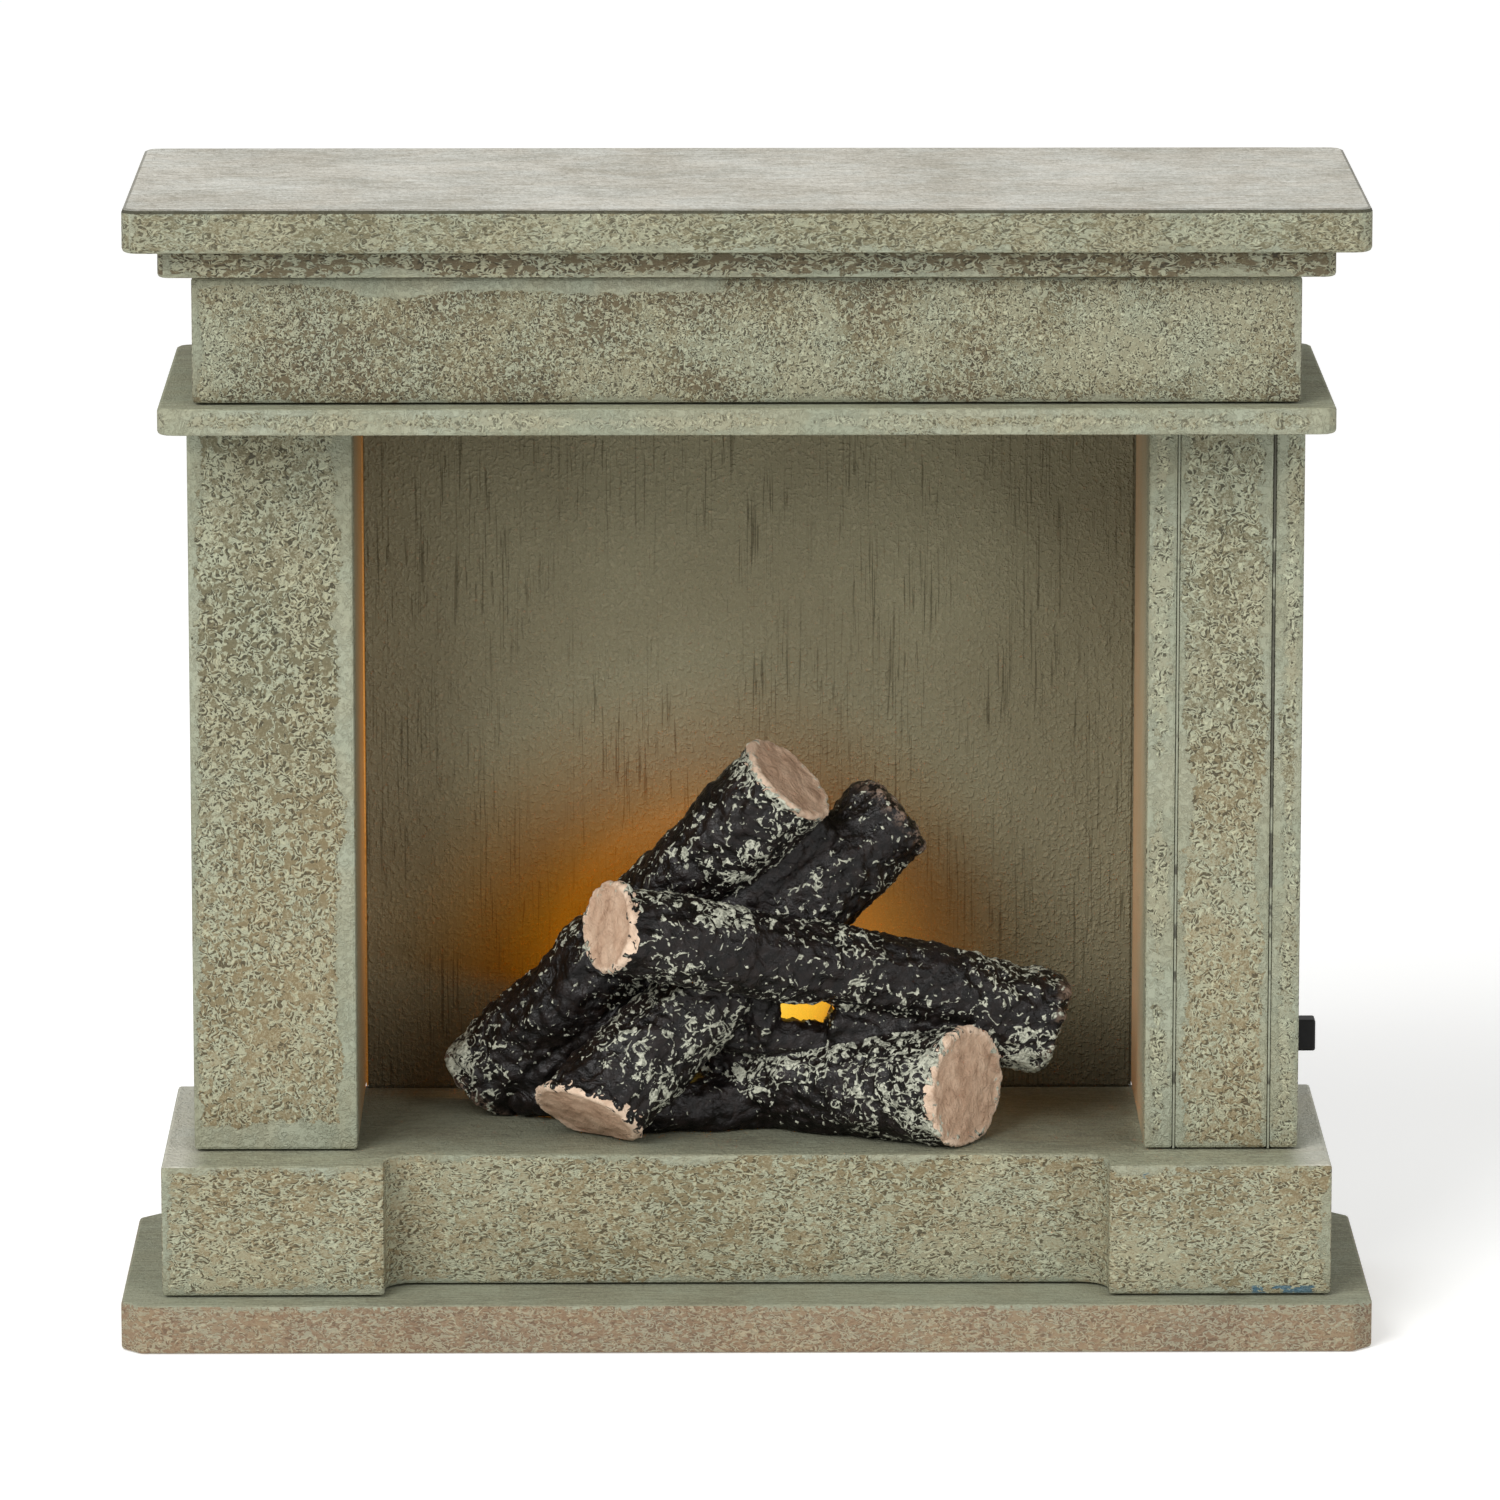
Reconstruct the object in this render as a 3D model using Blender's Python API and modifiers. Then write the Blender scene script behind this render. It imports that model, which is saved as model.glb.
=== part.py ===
"""Miniature fireplace mantel with a battery-lit log pile.

Metres, +Z up, front towards -Y. The origin is at the bottom centre of the bounding box.
Painted fibreboard pieces are stacked from a base board up to a mantel shelf. The left jamb is
solid. The right jamb is a box of three boards that holds a slide switch and a battery tray,
which opens at the back. A lamp stands in the hearth behind the logs, and its wires run in a
groove under the plinth.
"""

import math

import bmesh
import bpy
from mathutils import Vector

# ---- driving dimensions -------------------------------------------------------------------
GAP = 0.0003  # between pieces that touch
MM = 0.001  # one millimetre

BACK_Y = 0.0308  # one flush back plane for every layer
MANTEL_FRONT_Y = -0.0308

# Heights of the joints between the stacked layers.
BASE_TOP_Z = 0.0069
HEARTH_Z = 0.0258
JAMB_TOP_Z = 0.1303
SHELF_TOP_Z = 0.1343
FRIEZE_TOP_Z = 0.1520
MOULDING_TOP_Z = 0.1560
MANTEL_TOP_Z = 0.1624

# Half width and front face of each layer.
BASE_HALF_W = 0.0875
BASE_FRONT_Y = -0.0227
PLINTH_HALF_W = 0.0818
PLINTH_FRONT_Y = -0.0183
RECESS_Y = -0.0116
RECESS_HALF_W = 0.0507
RECESS_FILLET_R = 0.0040
SHELF_HALF_W = 0.0807
SHELF_FRONT_Y = -0.0267
FRIEZE_HALF_W = 0.0759
FRIEZE_FRONT_Y = -0.0235
MOULDING_HALF_W = 0.0804
MOULDING_FRONT_Y = -0.0262
MANTEL_HALF_W = 0.0850

# Jambs.
JAMB_FRONT_Y = -0.0095
JAMB_OUTER_X = 0.0775
LEFT_JAMB_INNER_X = 0.0546
RIGHT_JAMB_INNER_X = 0.0559
JAMB_BOARD_T = 0.0040
BACK_PANEL_T = 0.0021

# Sanded corners and edges of the boards.
CORNER_CUT = 0.0022
BASE_CORNER_CUT = 0.0027
SMALL_CORNER_CUT = 0.0016
ARRIS = 0.00045
SHELF_ARRIS = 0.0006
ROUND_STEPS = 3  # a rounded corner; a plain chamfer has 1

# Two AAA cells in line.
CELL_R = 0.00525
CELL_L = 0.0442
CELL_NUB_R = 0.0019
CELL_NUB_H = 0.0008
TRAY_W = 0.0128
TRAY_WALL = 0.0009
TRAY_END_WALL = 0.0012
TRAY_LIP_Y = 0.0290
COVER_T = 0.0015
SPRING_H = 0.0050
SPRING_WIRE_R = 0.00035
PLATE_T = 0.0004
SCREW_R = 0.00095
SCREW_HEAD_R = 0.0018
SCREW_L = 0.0060
PILOT_R = 0.0012

# Slide switch on the right jamb's outer board.
KNOB_H = 0.0045
KNOB_D = 0.0033
KNOB_TIP_X = 0.0807
KNOB_TRAVEL = 0.0020
KNOB_ON_Z = 0.0394
SWITCH_Y = 0.0047
SWITCH_BODY = (0.0044, 0.0048, 0.0092)
KNOB_ROOT_L = 0.0018  # inside the switch body
POCKET_D = 0.0022
FLANGE = (0.0004, 0.0052, 0.0154)
SWITCH_SCREW_PITCH = 0.0122
SWITCH_HOLE_R = 0.0010
PIN = (0.0026, 0.0008, 0.0005)
PIN_PITCH = 0.0025

# Lamp and wiring.
LED_X = -0.0060
LED_Y = 0.0218
LED_R = 0.0025
LED_FLANGE_R = 0.0029
LED_TIP_Z = 0.0340
LED_H = 0.0087
LED_LEG_PITCH = 0.00254
LED_BORE_R = 0.0032
WIRE_R = 0.0006
GROOVE_W = 0.0050
GROOVE_D = 0.0040
RISER = (0.0667, 0.0125)
RISER_R = 0.0026

CAVITY_X = (RIGHT_JAMB_INNER_X + JAMB_BOARD_T, JAMB_OUTER_X - JAMB_BOARD_T)
CELL_X = (CAVITY_X[0] + CAVITY_X[1]) / 2
BACK_PANEL_Y = BACK_Y - BACK_PANEL_T

# ---- materials: colour, roughness, metallic -------------------------------------------------
FINISHES = {
    "sage_mdf": ((0.36, 0.37, 0.27, 1), 0.85, 0.0),
    "base_mdf": ((0.38, 0.29, 0.21, 1), 0.9, 0.0),
    "firebox_paint": ((0.24, 0.24, 0.17, 1), 0.9, 0.0),
    "log_resin": ((0.035, 0.032, 0.034, 1), 0.6, 0.0),
    "amber_epoxy": ((1.0, 0.45, 0.05, 1), 0.15, 0.0),
    "tinned_wire": ((0.7, 0.7, 0.68, 1), 0.3, 1.0),
    "resistor_lacquer": ((0.55, 0.42, 0.28, 1), 0.5, 0.0),
    "red_pvc": ((0.5, 0.03, 0.02, 1), 0.45, 0.0),
    "black_pvc": ((0.02, 0.02, 0.02, 1), 0.45, 0.0),
    "black_knob": ((0.012, 0.012, 0.013, 1), 0.25, 0.0),
    "switch_housing": ((0.03, 0.03, 0.03, 1), 0.6, 0.0),
    "switch_steel": ((0.6, 0.6, 0.6, 1), 0.35, 1.0),
    "tray_plastic": ((0.02, 0.02, 0.02, 1), 0.55, 0.0),
    "cell_sleeve": ((0.08, 0.12, 0.2, 1), 0.3, 0.3),
    "nickel": ((0.72, 0.7, 0.66, 1), 0.25, 1.0),
    "zinc_screw": ((0.62, 0.62, 0.6, 1), 0.35, 1.0),
}


def clear_scene():
    for ob in list(bpy.data.objects):
        bpy.data.objects.remove(ob, do_unlink=True)


def new_collection(name):
    found = bpy.data.collections.new(name)
    bpy.context.scene.collection.children.link(found)
    return found


def finish(slot):
    """The Principled material of one finish, made once."""
    if slot in bpy.data.materials:
        return bpy.data.materials[slot]
    colour, roughness, metallic = FINISHES[slot]
    mat = bpy.data.materials.new(slot)
    mat.use_nodes = True
    shader = mat.node_tree.nodes["Principled BSDF"]
    shader.inputs["Base Color"].default_value = colour
    shader.inputs["Roughness"].default_value = roughness
    shader.inputs["Metallic"].default_value = metallic
    mat.diffuse_color = colour
    return mat


def place(name, data, slot, location=(0, 0, 0), into=None):
    ob = bpy.data.objects.new(name, data)
    ob.location = location
    (into or PARTS).objects.link(ob)
    if slot:
        data.materials.append(finish(slot))
    return ob


def as_cutter(ob):
    ob.hide_render = True
    ob.display_type = "WIRE"
    return ob


def combine(ob, other, operation="DIFFERENCE"):
    mod = ob.modifiers.new(operation.lower() + "_" + other.name, "BOOLEAN")
    mod.operation = operation
    mod.solver = "EXACT"
    mod.object = other
    return mod


def soften(ob, width=ARRIS, segments=2, angle=35):
    mod = ob.modifiers.new("arris", "BEVEL")
    mod.width = width
    mod.segments = segments
    mod.limit_method = "ANGLE"
    mod.angle_limit = math.radians(angle)
    return mod


# ---- shape builders -----------------------------------------------------------------------
def box_mesh(name, size, corner_cut=0.0, corner_steps=1):
    """A box about its own centre, with its upright edges cut back or rounded."""
    bm = bmesh.new()
    bmesh.ops.create_cube(bm, size=1.0)
    bmesh.ops.scale(bm, vec=Vector(size), verts=bm.verts)
    if corner_cut:
        upright = [e for e in bm.edges if abs((e.verts[0].co - e.verts[1].co).z) > size[2] / 2]
        bmesh.ops.bevel(
            bm,
            geom=upright,
            offset=corner_cut,
            segments=corner_steps,
            profile=0.5,
            affect="EDGES",
        )
    mesh = bpy.data.meshes.new(name)
    bm.to_mesh(mesh)
    bm.free()
    return mesh


def centre_and_size(low, high):
    low, high = Vector(low), Vector(high)
    return (low + high) / 2, high - low


def board(name, low, high, slot, corner_cut=0.0, arris=ARRIS, corner_steps=1):
    centre, size = centre_and_size(low, high)
    ob = place(name, box_mesh(name, size, corner_cut, corner_steps), slot, centre)
    if arris:
        soften(ob, arris)
    return ob


def cut_box(name, low, high, turn=0.0):
    centre, size = centre_and_size(low, high)
    ob = place(name, box_mesh(name, size), None, centre, CUTTERS)
    ob.rotation_euler.z = turn
    return as_cutter(ob)


def cut_rod(name, centre, radius, length, axis="Z", sides=24, tip_radius=None):
    """A round cutter about centre, along one axis; tip_radius is the radius at its + end."""
    bm = bmesh.new()
    tip = radius if tip_radius is None else tip_radius
    bmesh.ops.create_cone(
        bm, cap_ends=True, segments=sides, radius1=radius, radius2=tip, depth=length
    )
    mesh = bpy.data.meshes.new(name)
    bm.to_mesh(mesh)
    bm.free()
    ob = place(name, mesh, None, centre, CUTTERS)
    if axis == "X":
        ob.rotation_euler.y = math.radians(90)
    if axis == "Y":
        ob.rotation_euler.x = math.radians(-90)
    return as_cutter(ob)


def turned(name, profile, slot, location, steps=24):
    """A solid of revolution about Z from (radius, height) points, listed from its top down."""
    mesh = bpy.data.meshes.new(name)
    points = [(radius, 0.0, height) for radius, height in profile]
    mesh.from_pydata(points, [(i, i + 1) for i in range(len(points) - 1)], [])
    ob = place(name, mesh, slot, location)
    screw = ob.modifiers.new("turn", "SCREW")
    screw.axis = "Z"
    screw.steps = steps
    screw.render_steps = steps
    screw.use_merge_vertices = True
    screw.merge_threshold = 1e-6
    weld = ob.modifiers.new("poles", "WELD")
    weld.merge_threshold = 1e-6
    mesh.update()
    return ob


def smooth_route(points, spacing):
    """Points about spacing apart on a smooth curve through the given points."""
    pts = [Vector(p) for p in points]
    pts = [2 * pts[0] - pts[1]] + pts + [2 * pts[-1] - pts[-2]]
    route = []
    for i in range(1, len(pts) - 2):
        before, start, end, after = pts[i - 1 : i + 3]
        count = max(1, round((end - start).length / spacing))
        for k in range(count):
            t = k / count
            route.append(
                0.5
                * (
                    2 * start
                    + (end - before) * t
                    + (2 * before - 5 * start + 4 * end - after) * t * t
                    + (3 * start - before - 3 * end + after) * t**3
                )
            )
    route.append(pts[-2])
    return route


def tube(name, route, radius, slot, radii=None, resolution=2, into=None):
    """A round rod along a route; radii scales its radius at each point."""
    curve = bpy.data.curves.new(name, "CURVE")
    curve.dimensions = "3D"
    curve.bevel_depth = radius
    curve.bevel_resolution = resolution
    curve.use_fill_caps = True
    spline = curve.splines.new("POLY")
    spline.points.add(len(route) - 1)
    for i, (point, co) in enumerate(zip(spline.points, route)):
        point.co = (*co, 1.0)
        point.radius = radii[i] if radii else 1.0
    return place(name, curve, slot, into=into)


def curve_to_mesh(curve_ob, slot=None, into=None, flat_caps=False):
    """Replaces a curve object with a welded mesh object of the same name.

    flat_caps joins the fill's triangles into one face, which a bevel needs.
    """
    name = curve_ob.name
    graph = bpy.context.evaluated_depsgraph_get()
    mesh = bpy.data.meshes.new_from_object(curve_ob.evaluated_get(graph))
    matrix = curve_ob.matrix_world.copy()
    bpy.data.objects.remove(curve_ob, do_unlink=True)
    bm = bmesh.new()
    bm.from_mesh(mesh)
    bmesh.ops.remove_doubles(bm, verts=bm.verts, dist=1e-6)
    if flat_caps:
        bmesh.ops.dissolve_limit(
            bm, angle_limit=math.radians(1), verts=bm.verts, edges=bm.edges
        )
    bmesh.ops.recalc_face_normals(bm, faces=bm.faces)
    bm.to_mesh(mesh)
    bm.free()
    mesh.materials.clear()
    ob = place(name, mesh, slot, into=into)
    ob.matrix_world = matrix
    return ob


def slab_from_outline(name, outline, low_z, high_z, slot):
    """A flat piece between two heights from a closed outline in plan."""
    curve = bpy.data.curves.new(name, "CURVE")
    curve.dimensions = "2D"
    curve.fill_mode = "BOTH"
    curve.extrude = (high_z - low_z) / 2
    spline = curve.splines.new("POLY")
    spline.points.add(len(outline) - 1)
    for point, (x, y) in zip(spline.points, outline):
        point.co = (x, y, 0.0, 1.0)
    spline.use_cyclic_u = True
    ob = place(name, curve, None, (0, 0, (low_z + high_z) / 2))
    bpy.context.view_layer.update()
    return curve_to_mesh(ob, slot, flat_caps=True)


# ---- stacked boards -----------------------------------------------------------------------
def layer(name, half_w, front_y, heights, corner_cut=0.0, corner_steps=1, arris=ARRIS):
    low = (-half_w, front_y, heights[0])
    high = (half_w, BACK_Y, heights[1])
    slot = "base_mdf" if name == "base_board" else "sage_mdf"
    return board(name, low, high, slot, corner_cut, arris, corner_steps)


def plinth_outline():
    """A slab whose front is set back between two end blocks, with filleted inner corners."""
    outline = [(-PLINTH_HALF_W, BACK_Y), (-PLINTH_HALF_W, PLINTH_FRONT_Y)]
    outline.append((-RECESS_HALF_W, PLINTH_FRONT_Y))
    steps = 5
    centre = (-RECESS_HALF_W + RECESS_FILLET_R, RECESS_Y - RECESS_FILLET_R)
    fillet = []
    for i in range(steps + 1):
        a = math.radians(180 - 90 * i / steps)
        fillet.append(
            (
                centre[0] + RECESS_FILLET_R * math.cos(a),
                centre[1] + RECESS_FILLET_R * math.sin(a),
            )
        )
    outline += fillet
    outline += [(-x, y) for x, y in reversed(fillet)]
    outline += [(RECESS_HALF_W, PLINTH_FRONT_Y), (PLINTH_HALF_W, PLINTH_FRONT_Y)]
    outline.append((PLINTH_HALF_W, BACK_Y))
    return outline


def plinth_block():
    low_z = BASE_TOP_Z + GAP
    ob = slab_from_outline("plinth_block", plinth_outline(), low_z, HEARTH_Z, "sage_mdf")
    soften(ob, angle=50)
    led = Vector((LED_X, LED_Y))
    riser = Vector(RISER)
    run = riser - led
    mid = (led + riser) / 2
    half_l = run.length / 2 + GROOVE_W / 2
    groove_z = (low_z - MM, low_z + GROOVE_D)
    groove = cut_box(
        "cut_wire_groove",
        (mid.x - half_l, mid.y - GROOVE_W / 2, groove_z[0]),
        (mid.x + half_l, mid.y + GROOVE_W / 2, groove_z[1]),
        turn=math.atan2(run.y, run.x),
    )
    height = HEARTH_Z - low_z + 4 * MM
    middle_z = (HEARTH_Z + low_z) / 2
    bore = cut_rod("cut_lamp_bore", (LED_X, LED_Y, middle_z), LED_BORE_R, height)
    rise = cut_rod("cut_riser", (*RISER, middle_z), RISER_R, height)
    for cutter in (groove, bore, rise):
        combine(ob, cutter)
    return ob


def stacked_boards():
    layer("base_board", BASE_HALF_W, BASE_FRONT_Y, (0.0, BASE_TOP_Z), BASE_CORNER_CUT)
    plinth_block()
    shelf = (JAMB_TOP_Z + GAP, SHELF_TOP_Z)
    layer("lower_shelf", SHELF_HALF_W, SHELF_FRONT_Y, shelf, CORNER_CUT, ROUND_STEPS)
    layer("frieze_block", FRIEZE_HALF_W, FRIEZE_FRONT_Y, (SHELF_TOP_Z + GAP, FRIEZE_TOP_Z))
    moulding = (FRIEZE_TOP_Z + GAP, MOULDING_TOP_Z)
    layer(
        "bed_moulding",
        MOULDING_HALF_W,
        MOULDING_FRONT_Y,
        moulding,
        SMALL_CORNER_CUT,
        ROUND_STEPS,
    )
    layer(
        "mantel_shelf",
        MANTEL_HALF_W,
        MANTEL_FRONT_Y,
        (MOULDING_TOP_Z + GAP, MANTEL_TOP_Z),
        CORNER_CUT,
        ROUND_STEPS,
        SHELF_ARRIS,
    )


# ---- jambs and back ------------------------------------------------------------------------
def jambs():
    low_z = HEARTH_Z + GAP
    board(
        "left_jamb",
        (-JAMB_OUTER_X, JAMB_FRONT_Y, low_z),
        (-LEFT_JAMB_INNER_X, BACK_Y, JAMB_TOP_Z),
        "sage_mdf",
    )
    board(
        "right_jamb_inner_board",
        (RIGHT_JAMB_INNER_X, JAMB_FRONT_Y, low_z),
        (CAVITY_X[0], BACK_Y, JAMB_TOP_Z),
        "sage_mdf",
    )
    board(
        "right_jamb_front_strip",
        (CAVITY_X[0] + GAP, JAMB_FRONT_Y, low_z),
        (CAVITY_X[1] - GAP, JAMB_FRONT_Y + JAMB_BOARD_T, JAMB_TOP_Z),
        "sage_mdf",
    )
    outer = board(
        "right_jamb_outer_board",
        (CAVITY_X[1], JAMB_FRONT_Y, low_z),
        (JAMB_OUTER_X, BACK_Y, JAMB_TOP_Z),
        "sage_mdf",
    )
    board(
        "back_panel",
        (-LEFT_JAMB_INNER_X + GAP, BACK_PANEL_Y, low_z),
        (RIGHT_JAMB_INNER_X - GAP, BACK_Y, JAMB_TOP_Z),
        "firebox_paint",
        arris=0.0002,
    )
    half_h = KNOB_H / 2 + GAP
    slot = cut_box(
        "cut_knob_slot",
        (CAVITY_X[1] - MM, SWITCH_Y - KNOB_D / 2 - GAP, KNOB_ON_Z - KNOB_TRAVEL - half_h),
        (JAMB_OUTER_X + MM, SWITCH_Y + KNOB_D / 2 + GAP, KNOB_ON_Z + half_h),
    )
    combine(outer, slot)
    for i, z in enumerate(switch_screw_heights()):
        centre = (CAVITY_X[1], SWITCH_Y, z)
        hole = cut_rod(f"cut_board_screw_hole_{i}", centre, SWITCH_HOLE_R, 6 * MM, "X", 16)
        combine(outer, hole)


# ---- log pile ------------------------------------------------------------------------------
# Each log's axis as (x, y, z, radius) in millimetres, then the outward direction of each sawn
# end, or None for a rounded bark end.
LOGS = {
    "rear_log": (
        [(-37.2, 17.0, 29.6, 7.2), (-15.0, 9.0, 53.4, 7.2), (6.2, 1.5, 77.0, 7.1)],
        None,
        (0.64, -0.26, 0.72),
    ),
    "front_log": (
        [(-22.6, -4.6, 29.9, 7.2), (-1.5, 4.0, 49.5, 6.8), (21.0, 12.5, 69.1, 6.7)],
        (-0.40, -0.54, -0.74),
        None,
    ),
    "top_log": (
        [
            (-19.3, -8.5, 57.9, 6.3),
            (-3.7, -5.0, 53.9, 6.2),
            (16.3, 1.0, 48.6, 6.3),
            (42.7, 6.5, 40.4, 7.2),
        ],
        (-0.85, -0.49, 0.19),
        None,
    ),
    "short_log": (
        [(30.9, -6.5, 34.2, 8.5), (14.8, 1.5, 32.6, 7.4), (-6.4, 12.0, 30.7, 6.2)],
        (0.80, -0.60, 0.03),
        None,
    ),
}
# Webs of resin that fill the narrow spaces where two logs nearly meet, as start, end, radius.
WEBS = {
    "web_top_to_short": ((14.5, 1.5, 41.5), (30.0, 0.5, 38.5), 3.6),
    "web_front_to_short": ((-4.0, 5.0, 43.0), (-2.0, 8.0, 34.0), 3.8),
}
LOG_SPACING = 0.006
LOG_OVERRUN = 0.008  # past a sawn end, before it is sawn off
LOG_RESOLUTION = 6
ROUND_END_L = 0.0016  # a bark end's last ring, past the axis, and its share of the radius
ROUND_END_SHARE = 0.72


def sample_radius(axis, point):
    """The log's radius at a point, blended between the two nearest axis stations."""
    for start, end in zip(axis, axis[1:]):
        a, b = Vector(start[:3]) * MM, Vector(end[:3]) * MM
        t = (point - a).dot(b - a) / (b - a).length_squared
        if t <= 1.0:
            break
    t = min(max(t, 0.0), 1.0)
    return (start[3] * (1 - t) + end[3] * t) * MM


def saw(ob, point, normal):
    """Cuts away what lies beyond a plane and closes the end."""
    bm = bmesh.new()
    bm.from_mesh(ob.data)
    cut = bmesh.ops.bisect_plane(
        bm,
        geom=bm.verts[:] + bm.edges[:] + bm.faces[:],
        plane_co=point,
        plane_no=Vector(normal).normalized(),
        clear_outer=True,
    )
    rim = [e for e in cut["geom_cut"] if isinstance(e, bmesh.types.BMEdge)]
    bmesh.ops.contextual_create(bm, geom=rim)
    bmesh.ops.recalc_face_normals(bm, faces=bm.faces)
    bm.to_mesh(ob.data)
    bm.free()


def log(name, axis, start_cut, end_cut, into):
    stations = [Vector(p[:3]) * MM for p in axis]
    first, last = stations[0].copy(), stations[-1].copy()
    first_way = (stations[0] - stations[1]).normalized()
    last_way = (stations[-1] - stations[-2]).normalized()
    route = smooth_route(stations, LOG_SPACING)
    radii = [sample_radius(axis, p) for p in route]
    # A sawn end starts longer than the log; a bark end gets one smaller ring to round it.
    if start_cut:
        route.insert(0, route[0] + first_way * LOG_OVERRUN)
        radii.insert(0, radii[0])
    else:
        route.insert(0, route[0] + first_way * ROUND_END_L)
        radii.insert(0, radii[0] * ROUND_END_SHARE)
    if end_cut:
        route.append(route[-1] + last_way * LOG_OVERRUN)
        radii.append(radii[-1])
    else:
        route.append(route[-1] + last_way * ROUND_END_L)
        radii.append(radii[-1] * ROUND_END_SHARE)
    curve = tube(name, route, 1.0, None, radii, LOG_RESOLUTION, into)
    bpy.context.view_layer.update()
    ob = curve_to_mesh(curve, into=into)
    if start_cut:
        saw(ob, first, start_cut)
    if end_cut:
        saw(ob, last, end_cut)
    return ob


def log_pile():
    """Four logs cast as one solid, with a flat underside on the hearth."""
    pile = None
    for name, (axis, start_cut, end_cut) in LOGS.items():
        into = CUTTERS if pile else PARTS
        ob = log(name if pile else "log_pile", axis, start_cut, end_cut, into)
        if pile:
            combine(pile, as_cutter(ob), "UNION")
        else:
            pile = ob
            pile.data.materials.append(finish("log_resin"))
    for name, (start, end, radius) in WEBS.items():
        axis = [(*start, radius), (*end, radius)]
        combine(pile, as_cutter(log(name, axis, None, None, CUTTERS)), "UNION")
    floor = cut_box("cut_log_floor", (-0.06, -0.03, 0.0), (0.06, 0.04, HEARTH_Z + GAP))
    combine(pile, floor)
    return pile


# ---- lamp and its wiring --------------------------------------------------------------------
def lamp():
    """A 5 mm lamp in the hearth bore: a flange, a round body and a domed tip."""
    flange_z = LED_TIP_Z - LED_H
    dome_z = LED_TIP_Z - LED_R
    profile = [(0.0, LED_TIP_Z)]
    for i in range(1, 7):
        a = math.radians(90 - 15 * i)
        profile.append((LED_R * math.cos(a), dome_z + LED_R * math.sin(a)))
    profile += [
        (LED_R, flange_z + MM),
        (LED_FLANGE_R, flange_z + MM),
        (LED_FLANGE_R, flange_z),
        (0.0, flange_z),
    ]
    turned("led_lens", profile, "amber_epoxy", (LED_X, LED_Y, 0.0), steps=20)
    return flange_z


def groove_frame():
    """The groove's direction from the lamp to the riser, and its left-hand side."""
    along = (Vector(RISER) - Vector((LED_X, LED_Y))).normalized()
    return Vector((along.x, along.y, 0.0)), Vector((-along.y, along.x, 0.0))


def lamp_wiring(flange_z):
    along, side = groove_frame()
    lamp_at = Vector((LED_X, LED_Y, 0.0))
    wire_z = BASE_TOP_Z + GAP + GROOVE_D / 2
    lane = 0.00125
    leg_r = 0.00025
    for name, sign in (("led_anode_leg", -1), ("led_cathode_leg", 1)):
        top = lamp_at + side * sign * LED_LEG_PITCH / 2
        leg = [
            top + Vector((0, 0, flange_z - GAP)),
            top + Vector((0, 0, wire_z + 0.0012)),
            top + along * 0.0004 + Vector((0, 0, wire_z + 0.0003)),
            top + along * 0.0012 + Vector((0, 0, wire_z)),
            top + along * 0.0050 + Vector((0, 0, wire_z)),
        ]
        tube(name, leg, leg_r, "tinned_wire", resolution=1)

    # The resistor is soldered in line with the leg on the front side of the groove.
    res_start = lamp_at - side * lane + along * 0.0054 + Vector((0, 0, wire_z))
    res_l = 0.0036
    res_r = 0.0009
    ends = [
        (0.0, 0.55),
        (0.0003, 0.9),
        (0.0009, 1.0),
        (0.0012, 0.86),
        (res_l - 0.0012, 0.86),
        (res_l - 0.0009, 1.0),
        (res_l - 0.0003, 0.9),
        (res_l, 0.55),
    ]
    tube(
        "led_resistor",
        [res_start + along * d for d, _ in ends],
        res_r,
        "resistor_lacquer",
        [scale for _, scale in ends],
    )

    red_start = res_start + along * (res_l + GAP)
    black_start = lamp_at + side * lane + along * 0.0054 + Vector((0, 0, wire_z))
    riser = Vector((*RISER, 0.0))
    pin_x = pins_tip_x()
    switch_z = knob_mid_z()
    red = [
        red_start,
        red_start + along * 0.022,
        red_start + along * 0.044,
        riser - side * lane - along * 0.0035 + Vector((0, 0, wire_z + 0.0002)),
        riser - side * 0.0010 - along * 0.0002 + Vector((0, 0, wire_z + 0.0034)),
        riser - side * 0.0010 + along * 0.0002 + Vector((0, 0, HEARTH_Z - 0.003)),
        (RISER[0] - 0.0010, RISER[1] - 0.0016, HEARTH_Z + 0.0030),
        (RISER[0] - 0.0036, SWITCH_Y + 0.0015, HEARTH_Z + 0.0080),
        (pin_x - 0.0020, SWITCH_Y, switch_z - PIN_PITCH - 0.0016),
        (pin_x - GAP, SWITCH_Y, switch_z - PIN_PITCH),
    ]
    tube("wire_lamp_to_switch", smooth_route(red, 0.003), WIRE_R, "red_pvc")
    tab = negative_tab_tip()
    black = [
        black_start,
        black_start + along * 0.022,
        black_start + along * 0.044,
        riser + side * lane - along * 0.0035 + Vector((0, 0, wire_z)),
        riser + side * 0.0010 + Vector((0, 0, wire_z + 0.0036)),
        riser + side * 0.0010 + Vector((0, 0, HEARTH_Z - 0.003)),
        (RISER[0] + 0.0006, RISER[1] + 0.0002, HEARTH_Z + 0.0006),
        (tab.x, tab.y - 0.0022, tab.z - 0.0004),
        (tab.x, tab.y - GAP, tab.z),
    ]
    tube("wire_lamp_to_battery", smooth_route(black, 0.003), WIRE_R, "black_pvc")
    top = positive_tab_tip()
    feed = [
        (top.x, top.y - GAP, top.z),
        (top.x, top.y - 0.0030, top.z - 0.0014),
        (top.x - 0.0012, top.y - 0.0046, top.z - 0.012),
        (top.x - 0.0022, top.y - 0.0050, top.z - 0.034),
        (top.x - 0.0024, top.y - 0.0064, top.z - 0.056),
        (pin_x - 0.0022, SWITCH_Y + 0.0010, switch_z + PIN_PITCH + 0.006),
        (pin_x - 0.0018, SWITCH_Y, switch_z + PIN_PITCH + 0.0014),
        (pin_x - GAP, SWITCH_Y, switch_z + PIN_PITCH),
    ]
    tube("wire_battery_to_switch", smooth_route(feed, 0.003), WIRE_R, "red_pvc")


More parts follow.
